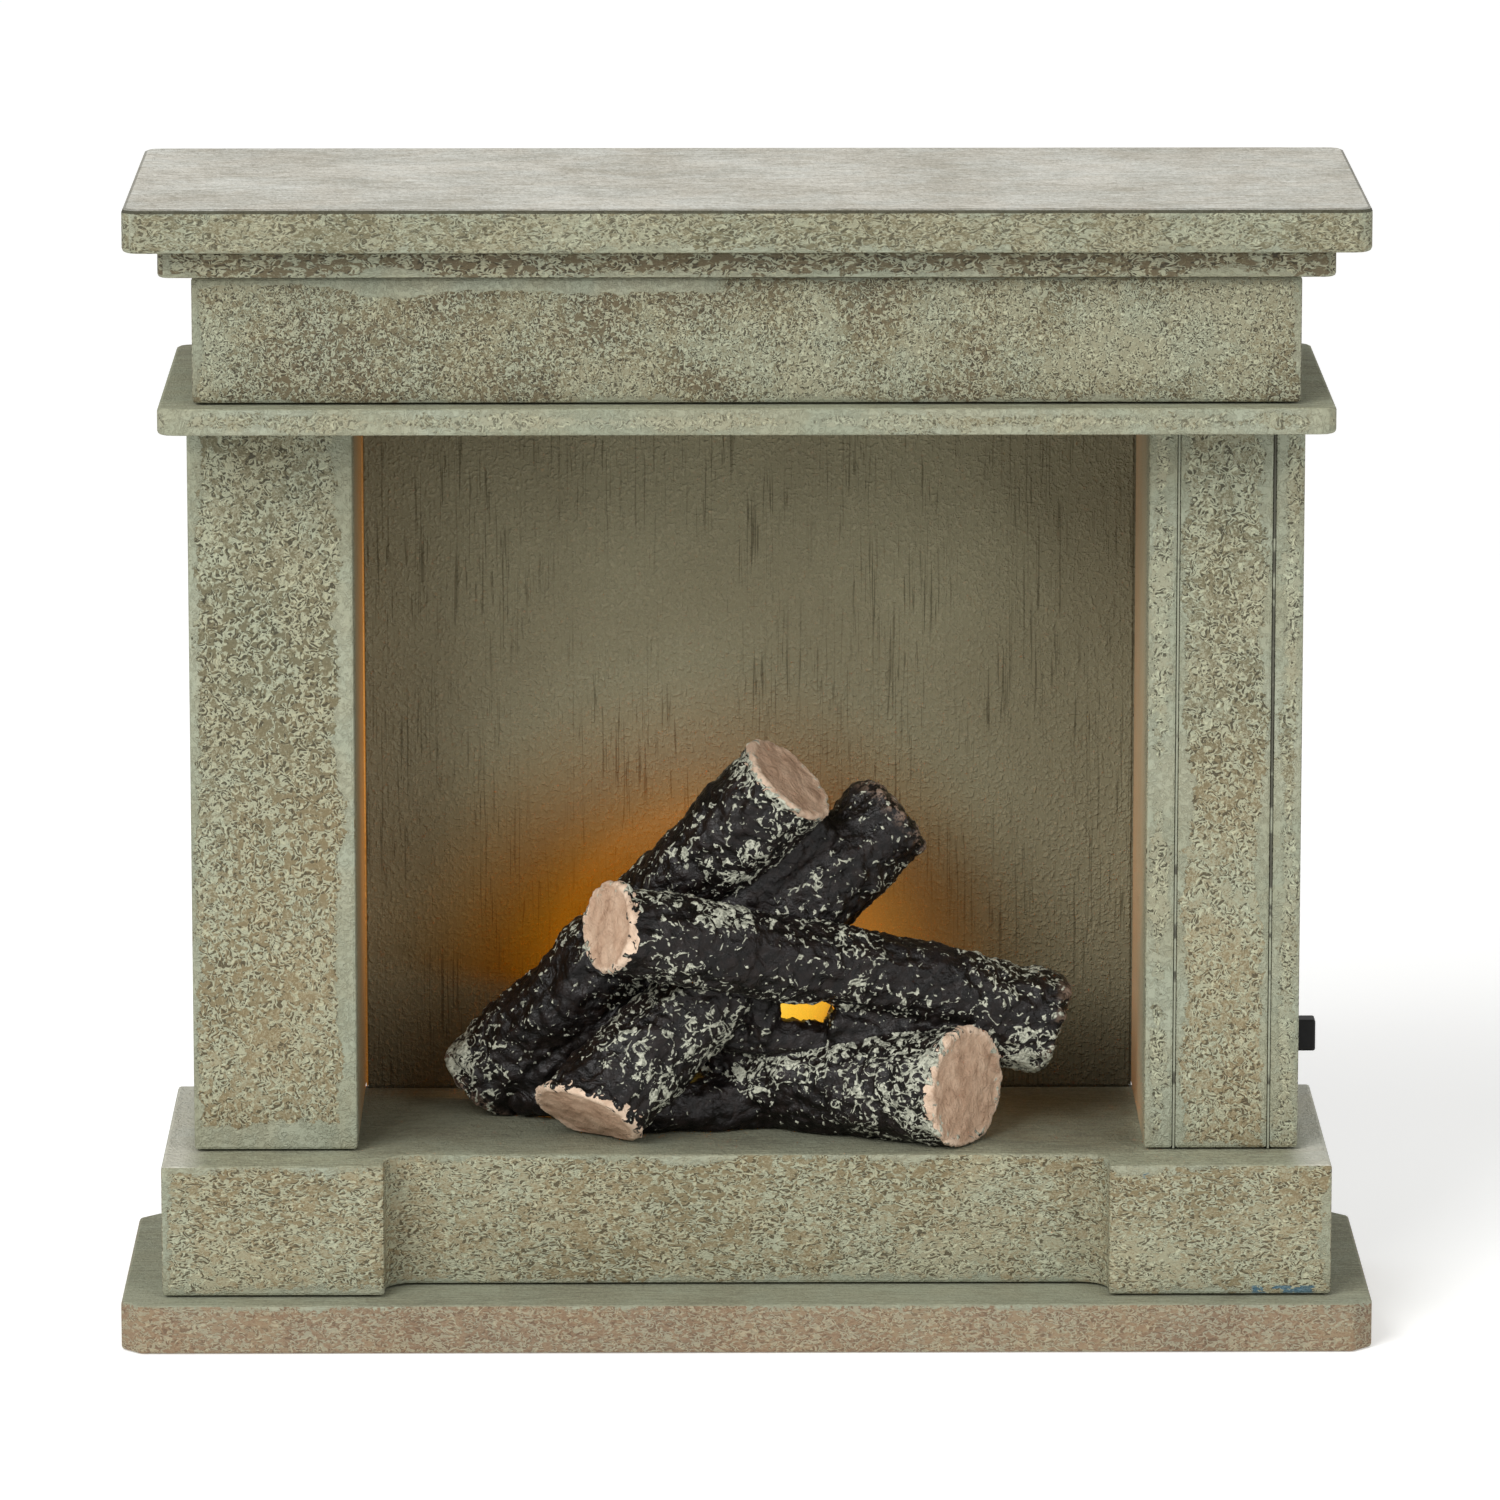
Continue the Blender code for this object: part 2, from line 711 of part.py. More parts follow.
# ---- slide switch ---------------------------------------------------------------------------
def knob_mid_z():
    """The height of the switch's centre, midway along the knob's travel."""
    return KNOB_ON_Z - KNOB_TRAVEL / 2


def flange_x():
    """Inner and outer face of the switch flange, which lies against the outer board."""
    outer = CAVITY_X[1] - GAP
    return outer - FLANGE[0], outer


def pins_tip_x():
    return flange_x()[0] - GAP - SWITCH_BODY[0] - GAP - PIN[0]


def switch_screw_heights():
    z = knob_mid_z()
    return z - SWITCH_SCREW_PITCH / 2, z + SWITCH_SCREW_PITCH / 2


def slide_switch():
    z = knob_mid_z()
    inner, outer = flange_x()
    half_y = KNOB_D / 2 + GAP
    travel_low = KNOB_ON_Z - KNOB_TRAVEL - KNOB_H / 2 - GAP
    travel_high = KNOB_ON_Z + KNOB_H / 2 + GAP
    flange = board(
        "switch_flange",
        (inner, SWITCH_Y - FLANGE[1] / 2, z - FLANGE[2] / 2),
        (outer, SWITCH_Y + FLANGE[1] / 2, z + FLANGE[2] / 2),
        "switch_steel",
        arris=0.0,
    )
    window = cut_box(
        "cut_flange_window",
        (inner - MM, SWITCH_Y - half_y, travel_low),
        (outer + MM, SWITCH_Y + half_y, travel_high),
    )
    combine(flange, window)
    for i, height in enumerate(switch_screw_heights()):
        centre = (inner, SWITCH_Y, height)
        hole = cut_rod(f"cut_flange_hole_{i}", centre, SWITCH_HOLE_R, 4 * MM, "X", 16)
        combine(flange, hole)

    body_face = inner - GAP
    body_low = body_face - SWITCH_BODY[0]
    body = board(
        "switch_body",
        (body_low, SWITCH_Y - SWITCH_BODY[1] / 2, z - SWITCH_BODY[2] / 2),
        (body_face, SWITCH_Y + SWITCH_BODY[1] / 2, z + SWITCH_BODY[2] / 2),
        "switch_housing",
        arris=0.0002,
    )
    pocket = cut_box(
        "cut_switch_pocket",
        (body_face - POCKET_D, SWITCH_Y - half_y, travel_low),
        (body_face + MM, SWITCH_Y + half_y, travel_high),
    )
    combine(body, pocket)

    knob_root = body_face - KNOB_ROOT_L
    knob_size = (KNOB_TIP_X - knob_root, KNOB_D, KNOB_H)
    knob = place("switch_knob", box_mesh("switch_knob", knob_size), "black_knob")
    knob.location = ((KNOB_TIP_X + knob_root) / 2, SWITCH_Y, KNOB_ON_Z)
    soften(knob, 0.0003)

    pin_mesh = box_mesh("switch_pin", PIN)
    pin_x = body_low - GAP - PIN[0] / 2
    for i, name in enumerate(("lower", "middle", "upper")):
        place(f"switch_pin_{name}", pin_mesh, None, (pin_x, SWITCH_Y, z + (i - 1) * PIN_PITCH))
    pin_mesh.materials.append(finish("tinned_wire"))

    # Pan-head screws through the flange into the outer board, one at each end.
    head_r = 0.0014
    shank_r = 0.0007
    profile = [
        (0.0, 0.0036),
        (shank_r * 0.5, 0.0036),
        (shank_r, 0.0030),
        (shank_r, 0.0),
        (head_r, 0.0),
        (head_r, -0.0005),
        (head_r * 0.7, -0.0009),
        (0.0, -0.0010),
    ]
    for name, height in zip(("lower", "upper"), switch_screw_heights()):
        at = (inner - GAP, SWITCH_Y, height)
        screw = turned(f"switch_screw_{name}", profile, "zinc_screw", at, steps=14)
        screw.rotation_euler.y = math.radians(90)


# ---- battery compartment --------------------------------------------------------------------
TRAY_LOW_Z = HEARTH_Z + 2 * GAP
SPRING_LOW_Z = TRAY_LOW_Z + TRAY_END_WALL + GAP
CELL_LOW_Z = SPRING_LOW_Z + SPRING_H + GAP
UPPER_CELL_Z = CELL_LOW_Z + CELL_L + GAP
PLATE_LOW_Z = UPPER_CELL_Z + CELL_L + GAP
TRAY_INNER_TOP_Z = PLATE_LOW_Z + PLATE_T + GAP
TRAY_TOP_Z = JAMB_TOP_Z - GAP
TRAY_FLOOR_Y = TRAY_LIP_Y - 2 * CELL_R - 2 * GAP
TRAY_FRONT_Y = TRAY_FLOOR_Y - TRAY_END_WALL
CELL_Y = TRAY_FLOOR_Y + GAP + CELL_R
TAB_W = 0.0030
TAB_OUT = 0.0016
SCREW_Z = (TRAY_INNER_TOP_Z + TRAY_TOP_Z) / 2


def negative_tab_tip():
    return Vector((CELL_X, TRAY_FRONT_Y - TAB_OUT, SPRING_LOW_Z + PLATE_T / 2))


def positive_tab_tip():
    return Vector((CELL_X, TRAY_FRONT_Y - TAB_OUT, PLATE_LOW_Z + PLATE_T / 2))


def battery_tray():
    half_w = TRAY_W / 2
    tray = board(
        "battery_tray",
        (CELL_X - half_w, TRAY_FRONT_Y, TRAY_LOW_Z),
        (CELL_X + half_w, TRAY_LIP_Y, TRAY_TOP_Z),
        "tray_plastic",
        arris=0.0,
    )
    trough = cut_box(
        "cut_tray_trough",
        (CELL_X - half_w + TRAY_WALL, TRAY_FLOOR_Y, TRAY_LOW_Z + TRAY_END_WALL),
        (CELL_X + half_w - TRAY_WALL, TRAY_LIP_Y + MM, TRAY_INNER_TOP_Z),
    )
    combine(tray, trough)
    for name, tab_z in (
        ("cut_negative_slit", SPRING_LOW_Z),
        ("cut_positive_slit", PLATE_LOW_Z),
    ):
        slit = cut_box(
            name,
            (CELL_X - TAB_W / 2 - GAP, TRAY_FRONT_Y - MM, tab_z - GAP / 2),
            (CELL_X + TAB_W / 2 + GAP, TRAY_FLOOR_Y + MM, tab_z + PLATE_T + GAP),
        )
        combine(tray, slit)
    pilot_l = SCREW_L + 0.0020
    pilot = cut_rod(
        "cut_screw_pilot", (CELL_X, TRAY_LIP_Y + MM - pilot_l / 2, SCREW_Z), PILOT_R, pilot_l, "Y"
    )
    combine(tray, pilot)


def cell(name, low_z):
    body_top = low_z + CELL_L - CELL_NUB_H
    bead = 0.0004
    profile = [
        (0.0, low_z + CELL_L),
        (CELL_NUB_R * 0.85, low_z + CELL_L),
        (CELL_NUB_R, low_z + CELL_L - 0.0002),
        (CELL_NUB_R, body_top),
        (CELL_R - bead, body_top),
        (CELL_R, body_top - bead),
        (CELL_R, low_z + bead),
        (CELL_R - bead, low_z),
        (0.0, low_z),
    ]
    turned(name, profile, "cell_sleeve", (CELL_X, CELL_Y, 0.0), steps=28)


def contacts():
    """A coned spring at the negative end and a flat plate with a tab at the positive end."""
    turns = 4
    per_turn = 12
    low_r, high_r = 0.0036, 0.0022
    steps = turns * per_turn
    coil = []
    for i in range(steps + 1):
        t = i / steps
        a = math.tau * turns * t + math.radians(270)
        r = low_r + (high_r - low_r) * t
        lift = SPRING_WIRE_R + (SPRING_H - 2 * SPRING_WIRE_R) * t
        coil.append(
            Vector((CELL_X + r * math.cos(a), CELL_Y + r * math.sin(a), SPRING_LOW_Z + lift))
        )
    # The wire's lower end runs straight out through the tray wall as the solder tail.
    tail_z = SPRING_LOW_Z + SPRING_WIRE_R
    tail_end = negative_tab_tip().y
    tail = [Vector((CELL_X, tail_end, tail_z)), Vector((CELL_X, TRAY_FLOOR_Y, tail_z))]
    tube("contact_spring", tail + coil, SPRING_WIRE_R, "nickel")

    half = 0.0040
    plate = board(
        "contact_plate",
        (CELL_X - half, CELL_Y - half, PLATE_LOW_Z),
        (CELL_X + half, CELL_Y + half, PLATE_LOW_Z + PLATE_T),
        "nickel",
        arris=0.0,
    )
    tab = cut_box(
        "join_plate_tab",
        (CELL_X - TAB_W / 2, TRAY_FRONT_Y - TAB_OUT, PLATE_LOW_Z),
        (CELL_X + TAB_W / 2, CELL_Y, PLATE_LOW_Z + PLATE_T),
    )
    combine(plate, tab, "UNION")


def battery_cover():
    """The lid in the jamb's open back, and its captive countersunk screw."""
    low = (CAVITY_X[0] + GAP, BACK_Y - COVER_T, HEARTH_Z + 2 * GAP)
    high = (CAVITY_X[1] - GAP, BACK_Y, JAMB_TOP_Z - GAP)
    cover = board("battery_cover", low, high, "tray_plastic", arris=0.0003)
    seat_depth = 1.1 * MM
    hole = cut_rod(
        "cut_cover_hole", (CELL_X, BACK_Y - COVER_T / 2, SCREW_Z), SCREW_R + GAP, 0.006, "Y"
    )
    seat = cut_rod(
        "cut_cover_seat",
        (CELL_X, BACK_Y - seat_depth / 2 + 0.00005, SCREW_Z),
        SCREW_R + GAP,
        seat_depth + 0.1 * MM,
        "Y",
        tip_radius=SCREW_HEAD_R + GAP,
    )
    combine(cover, hole)
    combine(cover, seat)
    grip_low_z = HEARTH_Z + 8.5 * MM
    grip_half_w = 4 * MM
    for i in range(5):
        z = grip_low_z + i * 1.6 * MM
        groove = cut_box(
            f"cut_grip_{i}",
            (CELL_X - grip_half_w, BACK_Y - 0.4 * MM, z),
            (CELL_X + grip_half_w, BACK_Y + MM, z + 0.7 * MM),
        )
        combine(cover, groove)

    head_h = 0.0010
    profile = [
        (0.0, 0.0),
        (SCREW_HEAD_R, 0.0),
        (SCREW_HEAD_R, -0.00015),
        (SCREW_R, -head_h),
        (SCREW_R, -SCREW_L + 0.0008),
        (SCREW_R * 0.3, -SCREW_L),
        (0.0, -SCREW_L),
    ]
    screw = turned("cover_screw", profile, "zinc_screw", (0, 0, 0), steps=20)
    screw.rotation_euler.x = math.radians(-90)
    head_y = BACK_Y - 0.0001
    for i, half in enumerate(((0.0012, 0.00025), (0.00025, 0.0012))):
        arm = cut_box(
            f"cut_screw_cross_{i}",
            (CELL_X - half[0], head_y - 0.0006, SCREW_Z - half[1]),
            (CELL_X + half[0], head_y + MM, SCREW_Z + half[1]),
        )
        combine(screw, arm)
    screw.parent = cover
    screw.location = Vector((CELL_X, head_y, SCREW_Z)) - cover.location


def main():
    stacked_boards()
    jambs()
    log_pile()
    flange_z = lamp()
    slide_switch()
    battery_tray()
    cell("battery_lower", CELL_LOW_Z)
    cell("battery_upper", UPPER_CELL_Z)
    contacts()
    battery_cover()
    lamp_wiring(flange_z)


clear_scene()
PARTS = new_collection("fireplace_mantel")
CUTTERS = new_collection("cutters")
main()
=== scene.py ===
import math

import bmesh
import bpy
import numpy as np
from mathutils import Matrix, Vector, noise


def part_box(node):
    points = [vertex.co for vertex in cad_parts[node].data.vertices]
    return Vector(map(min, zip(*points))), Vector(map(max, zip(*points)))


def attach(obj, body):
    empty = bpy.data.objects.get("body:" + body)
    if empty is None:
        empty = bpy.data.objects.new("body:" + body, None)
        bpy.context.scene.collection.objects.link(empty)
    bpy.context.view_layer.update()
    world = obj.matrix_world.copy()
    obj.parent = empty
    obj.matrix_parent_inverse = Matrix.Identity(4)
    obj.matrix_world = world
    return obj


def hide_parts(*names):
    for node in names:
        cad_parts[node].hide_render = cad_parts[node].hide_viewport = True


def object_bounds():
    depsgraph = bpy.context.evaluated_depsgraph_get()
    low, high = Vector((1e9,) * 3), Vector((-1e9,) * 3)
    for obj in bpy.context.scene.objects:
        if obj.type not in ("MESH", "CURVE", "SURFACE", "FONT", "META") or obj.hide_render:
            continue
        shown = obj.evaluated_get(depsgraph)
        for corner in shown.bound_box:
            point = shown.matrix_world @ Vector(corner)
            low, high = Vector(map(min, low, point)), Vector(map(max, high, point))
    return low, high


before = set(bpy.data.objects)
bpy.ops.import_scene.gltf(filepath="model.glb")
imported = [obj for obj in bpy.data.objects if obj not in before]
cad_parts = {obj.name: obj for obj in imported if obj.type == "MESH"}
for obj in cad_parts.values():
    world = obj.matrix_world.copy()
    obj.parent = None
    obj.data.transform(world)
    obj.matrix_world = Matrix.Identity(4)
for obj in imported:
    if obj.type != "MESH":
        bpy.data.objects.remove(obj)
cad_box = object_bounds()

MM = 0.001
FACING_LIMIT = 0.7  # a face looks along an axis where its normal's part there is over this


def srgb(code):
    """A linear RGBA colour from a hex code."""
    channels = [int(code[i : i + 2], 16) / 255 for i in (0, 2, 4)]
    linear = [c / 12.92 if c <= 0.04045 else ((c + 0.055) / 1.055) ** 2.4 for c in channels]
    return (*linear, 1.0)


# ---- node trees -----------------------------------------------------------------------------
class Graph:
    """One procedural material. Its point is the object's own position in millimetres."""

    def __init__(self, name, **constants):
        self.material = bpy.data.materials.new(name)
        self.material.use_nodes = True
        self.tree = self.material.node_tree
        self.shader = self.tree.nodes["Principled BSDF"]
        for key, value in constants.items():
            self.shader.inputs[key.replace("_", " ")].default_value = value
        coordinates = self.add("ShaderNodeTexCoord")
        self.point = self.scaled(coordinates.outputs["Object"], (1 / MM,) * 3)
        self.axes = self.split(self.point)
        self.normal = self.split(coordinates.outputs["Normal"])
        self.facing = [self.math("ABSOLUTE", part) for part in self.normal]

    def add(self, kind, **settings):
        node = self.tree.nodes.new(kind)
        for key, value in settings.items():
            setattr(node, key, value)
        return node

    def feed(self, socket, value):
        if isinstance(value, bpy.types.NodeSocket):
            self.tree.links.new(value, socket)
        else:
            socket.default_value = value

    def scaled(self, vector, factors, turn=(0, 0, 0), offset=(0, 0, 0)):
        node = self.add("ShaderNodeMapping")
        self.feed(node.inputs["Vector"], vector)
        node.inputs["Location"].default_value = offset
        node.inputs["Scale"].default_value = factors
        node.inputs["Rotation"].default_value = turn
        return node.outputs[0]

    def split(self, vector):
        node = self.add("ShaderNodeSeparateXYZ")
        self.feed(node.inputs[0], vector)
        return list(node.outputs)

    def math(self, operation, a, b=0.0):
        node = self.add("ShaderNodeMath", operation=operation)
        self.feed(node.inputs[0], a)
        self.feed(node.inputs[1], b)
        return node.outputs[0]

    def total(self, *terms):
        result = terms[0]
        for term in terms[1:]:
            result = self.math("ADD", result, term)
        return result

    def times(self, a, b):
        return self.math("MULTIPLY", a, b)

    def noise(
        self, scale, detail=2.0, distortion=0.0, stretch=(1, 1, 1), turn=(0, 0, 0), offset=(0, 0, 0)
    ):
        """Noise of the given frequency per millimetre, about 0.5 on average."""
        node = self.add("ShaderNodeTexNoise")
        vector = self.scaled(self.point, stretch, turn, offset)
        self.feed(node.inputs["Vector"], vector)
        node.inputs["Scale"].default_value = scale
        node.inputs["Detail"].default_value = detail
        node.inputs["Distortion"].default_value = distortion
        return node.outputs[0]

    def rise(self, value, low, high, start=0.0, end=1.0):
        """A smooth step from start to end as value goes from low to high."""
        node = self.add("ShaderNodeMapRange", interpolation_type="SMOOTHSTEP")
        for socket, number in zip(node.inputs, (value, low, high, start, end)):
            self.feed(socket, number)
        return node.outputs[0]

    def blend(self, factor, a, b, mode="MIX"):
        node = self.add("ShaderNodeMix", data_type="RGBA", blend_type=mode)
        self.feed(node.inputs[0], factor)
        self.feed(node.inputs[6], a)
        self.feed(node.inputs[7], b)
        return node.outputs[2]

    def uneven(self, value, amount):
        """Noise brought to 0 on average and scaled."""
        return self.times(self.math("SUBTRACT", value, 0.5), amount)

    def threads(self, scale, width, distortion, **placing):
        """Thin wavy lines: where a noise crosses its average."""
        path = self.noise(scale, 1.5, distortion, **placing)
        distance = self.math("ABSOLUTE", self.math("SUBTRACT", path, 0.5))
        return self.rise(distance, width * 0.45, width, 1.0, 0.0)

    def emit(self, colour):
        self.feed(self.shader.inputs["Emission Color"], colour)
        self.shader.inputs["Emission Strength"].default_value = 1.0

    def ramp(self, value, stops):
        """A colour ramp through (position, hex colour) stops."""
        node = self.add("ShaderNodeValToRGB")
        elements = node.color_ramp.elements
        while len(elements) < len(stops):
            elements.new(1.0)
        for element, (position, code) in zip(elements, stops):
            element.position = position
            element.color = srgb(code)
        self.feed(node.inputs[0], value)
        return node.outputs[0]

    def attribute(self, name):
        return self.add("ShaderNodeAttribute", attribute_name=name).outputs["Fac"]

    def largest(self, *values):
        result = values[0]
        for value in values[1:]:
            result = self.math("MAXIMUM", result, value)
        return result

    def length(self, a, b):
        """The length of a line that runs a one way and b square to it."""
        return self.math("SQRT", self.math("ADD", self.times(a, a), self.times(b, b)))

    def near(self, side, low, high, width, ragged, soft=0.3):
        """1 within width (mm) of one side of a box, on the faces that run up to that side."""
        axis = "xyz".index(side[1])
        if side[0] == "-":
            distance = self.math("SUBTRACT", self.axes[axis], low[axis])
        else:
            distance = self.math("SUBTRACT", high[axis], self.axes[axis])
        reach = self.math("SUBTRACT", self.math("ADD", ragged, width), distance)
        inside = self.rise(reach, -soft, soft)
        return self.times(inside, self.math("LESS_THAN", self.facing[axis], FACING_LIMIT))

    def finish(self, colour, roughness, height=None, depth_mm=0.1, strength=1.0):
        self.feed(self.shader.inputs["Base Color"], colour)
        self.feed(self.shader.inputs["Roughness"], roughness)
        if height is not None:
            bump = self.add("ShaderNodeBump")
            bump.inputs["Strength"].default_value = strength
            bump.inputs["Distance"].default_value = depth_mm * MM
            self.feed(bump.inputs["Height"], height)
            self.feed(self.shader.inputs["Normal"], bump.outputs[0])
        return self.material


def node_box_mm(node):
    low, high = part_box(node)
    return low / MM, high / MM


def wear(node, material):
    """Gives a CAD node its material."""
    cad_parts[node].material_slots[0].material = material


# ---- worn paint on fibreboard ------------------------------------------------------------------
PAINT = "8e9180"
PAINT_THIN = "848775"
# painted highlight on the rim of the fibre pits that faces the light
CREST_HIGHLIGHT = "b5b8a0"
HUES = ["fdfffc", "fffbf3"]  # the paint's colour drifts between a cool and a warm cast
SPLASH = "2f5a70"
# painted shade inside the firebox
FIREBOX_SHADE = "1b150a"
PALE_END = "c8c7bd"
BLACK = (0.0, 0.0, 0.0, 1.0)
TOP_FACING = (FACING_LIMIT, 0.95)  # the normal's upward part, from where a face turns into a top
# Tones of an up-facing surface: its own streaky paint, painted lighter than the faces for the light
# from above and the sheen at a low angle, palest on the mantel top; SHADED_TOP is painted darker for
# the shade on the base board in front of the plinth.
GREEN_TOP = ["807f6c", "8f907a", "999b85", "a1a48e"]
SHADED_TOP = ["757463", "838470", "8c8e7a", "949783"]
SHEEN_PALED_TOP = ["a7a396", "bbb8ae", "cbc9c0", "dad9d2"]
TOP_PLACES = (0.37, 0.46, 0.54, 0.63)
# Tones of the rubbed face: painted shade at the bottom of a pit in the fibres, bare fibre, thin paint,
# paint.
SAGE_TONES = ["353223", "5e5943", "726e59", "878774"]
WARM_TONES = ["423b28", "6f644a", "80765d", "8b8872"]
BASE_TONES = ["4a392a", "6d5946", "796551", "7f6f59"]
OLIVE_TONES = ["322d1f", "574e3a", "69634c", "807f6b"]
FACE_PLACES = (0.26, 0.5, 0.78)  # the wear at which the last three of them show


BRIGHTEST_Z_MM = 62.0  # where the lamp's light painted on the jambs' inner faces is brightest


def lamp_wash(g, side, ragged):
    """The bare back half of a jamb's inner face, and how strongly the lamp's painted light shines on
    it.
    """
    sign = 1.0 if side[0] == "+" else -1.0
    inner = g.math("GREATER_THAN", g.times(g.normal[0], sign), FACING_LIMIT)
    depth = g.math("ADD", g.axes[1], g.times(ragged, 0.3))
    bare = g.times(inner, g.rise(depth, -8.0, 6.0))
    below = g.rise(g.axes[2], 30.0, BRIGHTEST_Z_MM, 0.25, 1.0)
    above = g.rise(g.axes[2], BRIGHTEST_Z_MM, 132.0, 1.0, 0.4)
    deep = g.rise(depth, 4.0, 27.0)
    return bare, g.times(g.times(inner, deep), g.times(below, above))


def whole_edges(g, box, borders, patches, ragged, rough):
    """Where the paint is whole: along the borders and in the patches."""
    low, high = box
    edges = [g.near(side, low, high, width, ragged, 1.2) for side, width in borders.items()]
    whole = g.rise(g.math("ADD", g.largest(*edges), rough), 0.40, 0.60)
    for start, end, side, width in patches:
        place = g.math("ADD", g.axes[0], g.times(ragged, 1.5))
        begun = g.rise(place, start - 1, start + 1)
        not_over = g.rise(place, end - 1, end + 1, 1.0, 0.0)
        drip = g.near(side, low, high, width, g.times(ragged, 0.5), 0.12)
        whole = g.largest(whole, g.times(g.times(begun, not_over), drip))
    return whole


def top_paint(g, fine, cloud, tones, hearth):
    """Paint on an up-facing surface, in streaks along X. A hearth's is painted darker between the
    jambs, as shade in the firebox, and pale outside them."""
    streaks = g.noise(2.2, 3.0, 0.6, stretch=(0.11, 1.0, 1.0))
    streaking = g.total(g.times(streaks, 0.55), g.times(fine, 0.45), g.uneven(cloud, 0.35))
    colour = g.ramp(streaking, list(zip(TOP_PLACES, tones)))
    if hearth:
        out = g.math("ABSOLUTE", g.axes[0])
        colour = g.blend(g.rise(out, 75.0, 80.0, 0.0, 0.8), colour, srgb(PALE_END))
        # Painted shade: the hearth darker between the jambs and towards the back.
        painted_shade = g.times(g.rise(g.axes[1], -18.0, 0.0), g.rise(out, 54.0, 57.0, 0.46, 0.0))
        colour = g.blend(painted_shade, colour, srgb(FIREBOX_SHADE))
    return colour


def splashed(g, colour, specks, gate):
    """The colour with splashes of blue in boxes of (low x, high x, low z, high z)."""
    for x0, x1, z0, z1 in specks:
        speck = g.rise(gate, 0.47, 0.52)
        for place, start, end, soft in ((g.axes[0], x0, x1, 0.5), (g.axes[2], z0, z1, 0.3)):
            speck = g.times(speck, g.rise(place, start, start + soft))
            speck = g.times(speck, g.rise(place, end - soft, end, 1.0, 0.0))
        colour = g.blend(g.times(speck, 0.8), colour, srgb(SPLASH))
    return colour


def board_paint(
    name,
    box,
    tones,
    borders,
    shift=0.0,
    curl=1.0,
    stretch=(1.0, 1.0, 1.0),
    contrast=1.0,
    drift=1.4,
    relief=0.75,
    patches=(),
    lower_tones=None,
    top_tones=GREEN_TOP,
    arris=0.0,
    hearth=False,
    specks=(),
    lamp=None,
):
    """Sage paint, whole along the edges and rubbed back to the fibres inside them.

    borders gives the width in mm of whole paint at each side, such as {"-x": 1.1}. patches
    are (low x, high x, side, width) stretches where a border is wider. shift moves the whole
    face towards paint, or towards bare board where it's negative. curl is how fine the fibres
    are, contrast how strongly they show, drift how much the wear changes from place to place,
    and relief how deep the grain is. arris is how dark the edges of the top are. lamp is
    (side, strength, colour of the light, colour of the bare board) of the face that the lamp
    lights.
    """
    g = Graph(name, Specular_IOR_Level=0.4)
    cloud = g.noise(0.055, 3.0, 0.4)
    mottle = g.noise(0.28, 3.0, 0.9, stretch=stretch)
    fibre = g.noise(1.8 * curl, 3.0, 1.8, stretch=stretch)
    gate = g.noise(0.90 * curl, 1.5, 0.5, stretch=stretch)
    fine = g.noise(2.8, 2.0, 0.4, stretch=stretch)
    some = g.rise(g.math("ADD", gate, g.uneven(mottle, -0.3)), 0.38, 0.50)
    # Painted shade and highlight: the pits are painted dark, and a pale rim is painted on their
    # lower-right side, where light from the upper left falls.
    lower_right = (-0.2, -0.2, 0.2)
    pits = g.times(some, g.threads(0.92 * curl, 0.10, 1.3, stretch=stretch))
    lit_side = g.threads(0.92 * curl, 0.10, 1.3, stretch=stretch, offset=lower_right)
    lit_crests = g.times(some, lit_side)
    ragged = g.total(
        g.uneven(g.noise(0.55, 3.0, 0.8), 3.2),
        g.uneven(g.noise(0.075, 2.0), 5.0),
    )
    level = g.total(
        g.uneven(fibre, 1.9),
        g.uneven(mottle, 0.85),
        g.uneven(cloud, drift),
        g.uneven(fine, 0.9),
        0.5 + shift,
    )

    def rubbed(shades):
        face = g.ramp(level, list(zip(FACE_PLACES, shades[1:])))
        # Painted shade: the pits take the darkest tone.
        return g.blend(g.times(pits, 0.9 * contrast), face, srgb(shades[0]))

    worn = rubbed(tones)
    if lower_tones:
        height = g.math("ADD", g.axes[2], g.uneven(cloud, 60))
        middle = (box[0][2] + box[1][2]) / 2
        lowness = g.rise(height, middle - 22, middle + 12, 1.0, 0.0)
        worn = g.blend(lowness, worn, rubbed(lower_tones))
    # Painted highlight on the lit rim of each pit.
    worn = g.blend(g.times(lit_crests, 0.55 * contrast), worn, srgb(CREST_HIGHLIGHT))

    rough = g.math("ADD", g.uneven(fibre, 1.1), g.uneven(gate, 0.5))
    whole = whole_edges(g, box, borders, patches, ragged, rough)
    paint = g.blend(g.rise(cloud, 0.35, 0.65), srgb(PAINT), srgb(PAINT_THIN))
    paint = g.blend(g.times(pits, 0.25), paint, srgb(tones[1]))
    colour = g.blend(whole, worn, paint)

    top_colour = top_paint(g, fine, cloud, top_tones, hearth)
    colour = g.blend(g.rise(g.normal[2], *TOP_FACING), colour, top_colour)
    if arris:
        turned_up = g.rise(g.normal[2], 0.12, 0.3)
        line = g.times(turned_up, g.rise(g.normal[2], 0.88, 0.97, 1.0, 0.0))
        colour = g.blend(g.times(line, arris), colour, srgb(tones[0]))
    colour = splashed(g, colour, specks, gate)
    if lamp:
        side, strength, glow_code, bare_code = lamp
        bare, glow = lamp_wash(g, side, ragged)
        colour = g.blend(bare, colour, srgb(bare_code))
        # Painted light: the lamp's glow on the inner face, given as emission.
        g.emit(g.blend(g.times(glow, strength), BLACK, srgb(glow_code)))
    height = g.total(
        g.times(lit_crests, 0.30),
        g.times(pits, -0.55),
        g.times(fibre, 0.9),
        g.times(fine, 0.35),
        g.times(whole, 0.35),
    )
    hue = g.noise(0.11, 4.0, 0.6, offset=(7.0, 3.0, 5.0))
    cast = g.blend(g.rise(hue, 0.38, 0.62), *[srgb(code) for code in HUES])
    colour = g.blend(g.rise(g.normal[2], *TOP_FACING, 1.0, 0.5), colour, cast, "MULTIPLY")
    return g.finish(colour, g.rise(mottle, 0.3, 0.7, 0.66, 0.8), height, 0.26, relief)


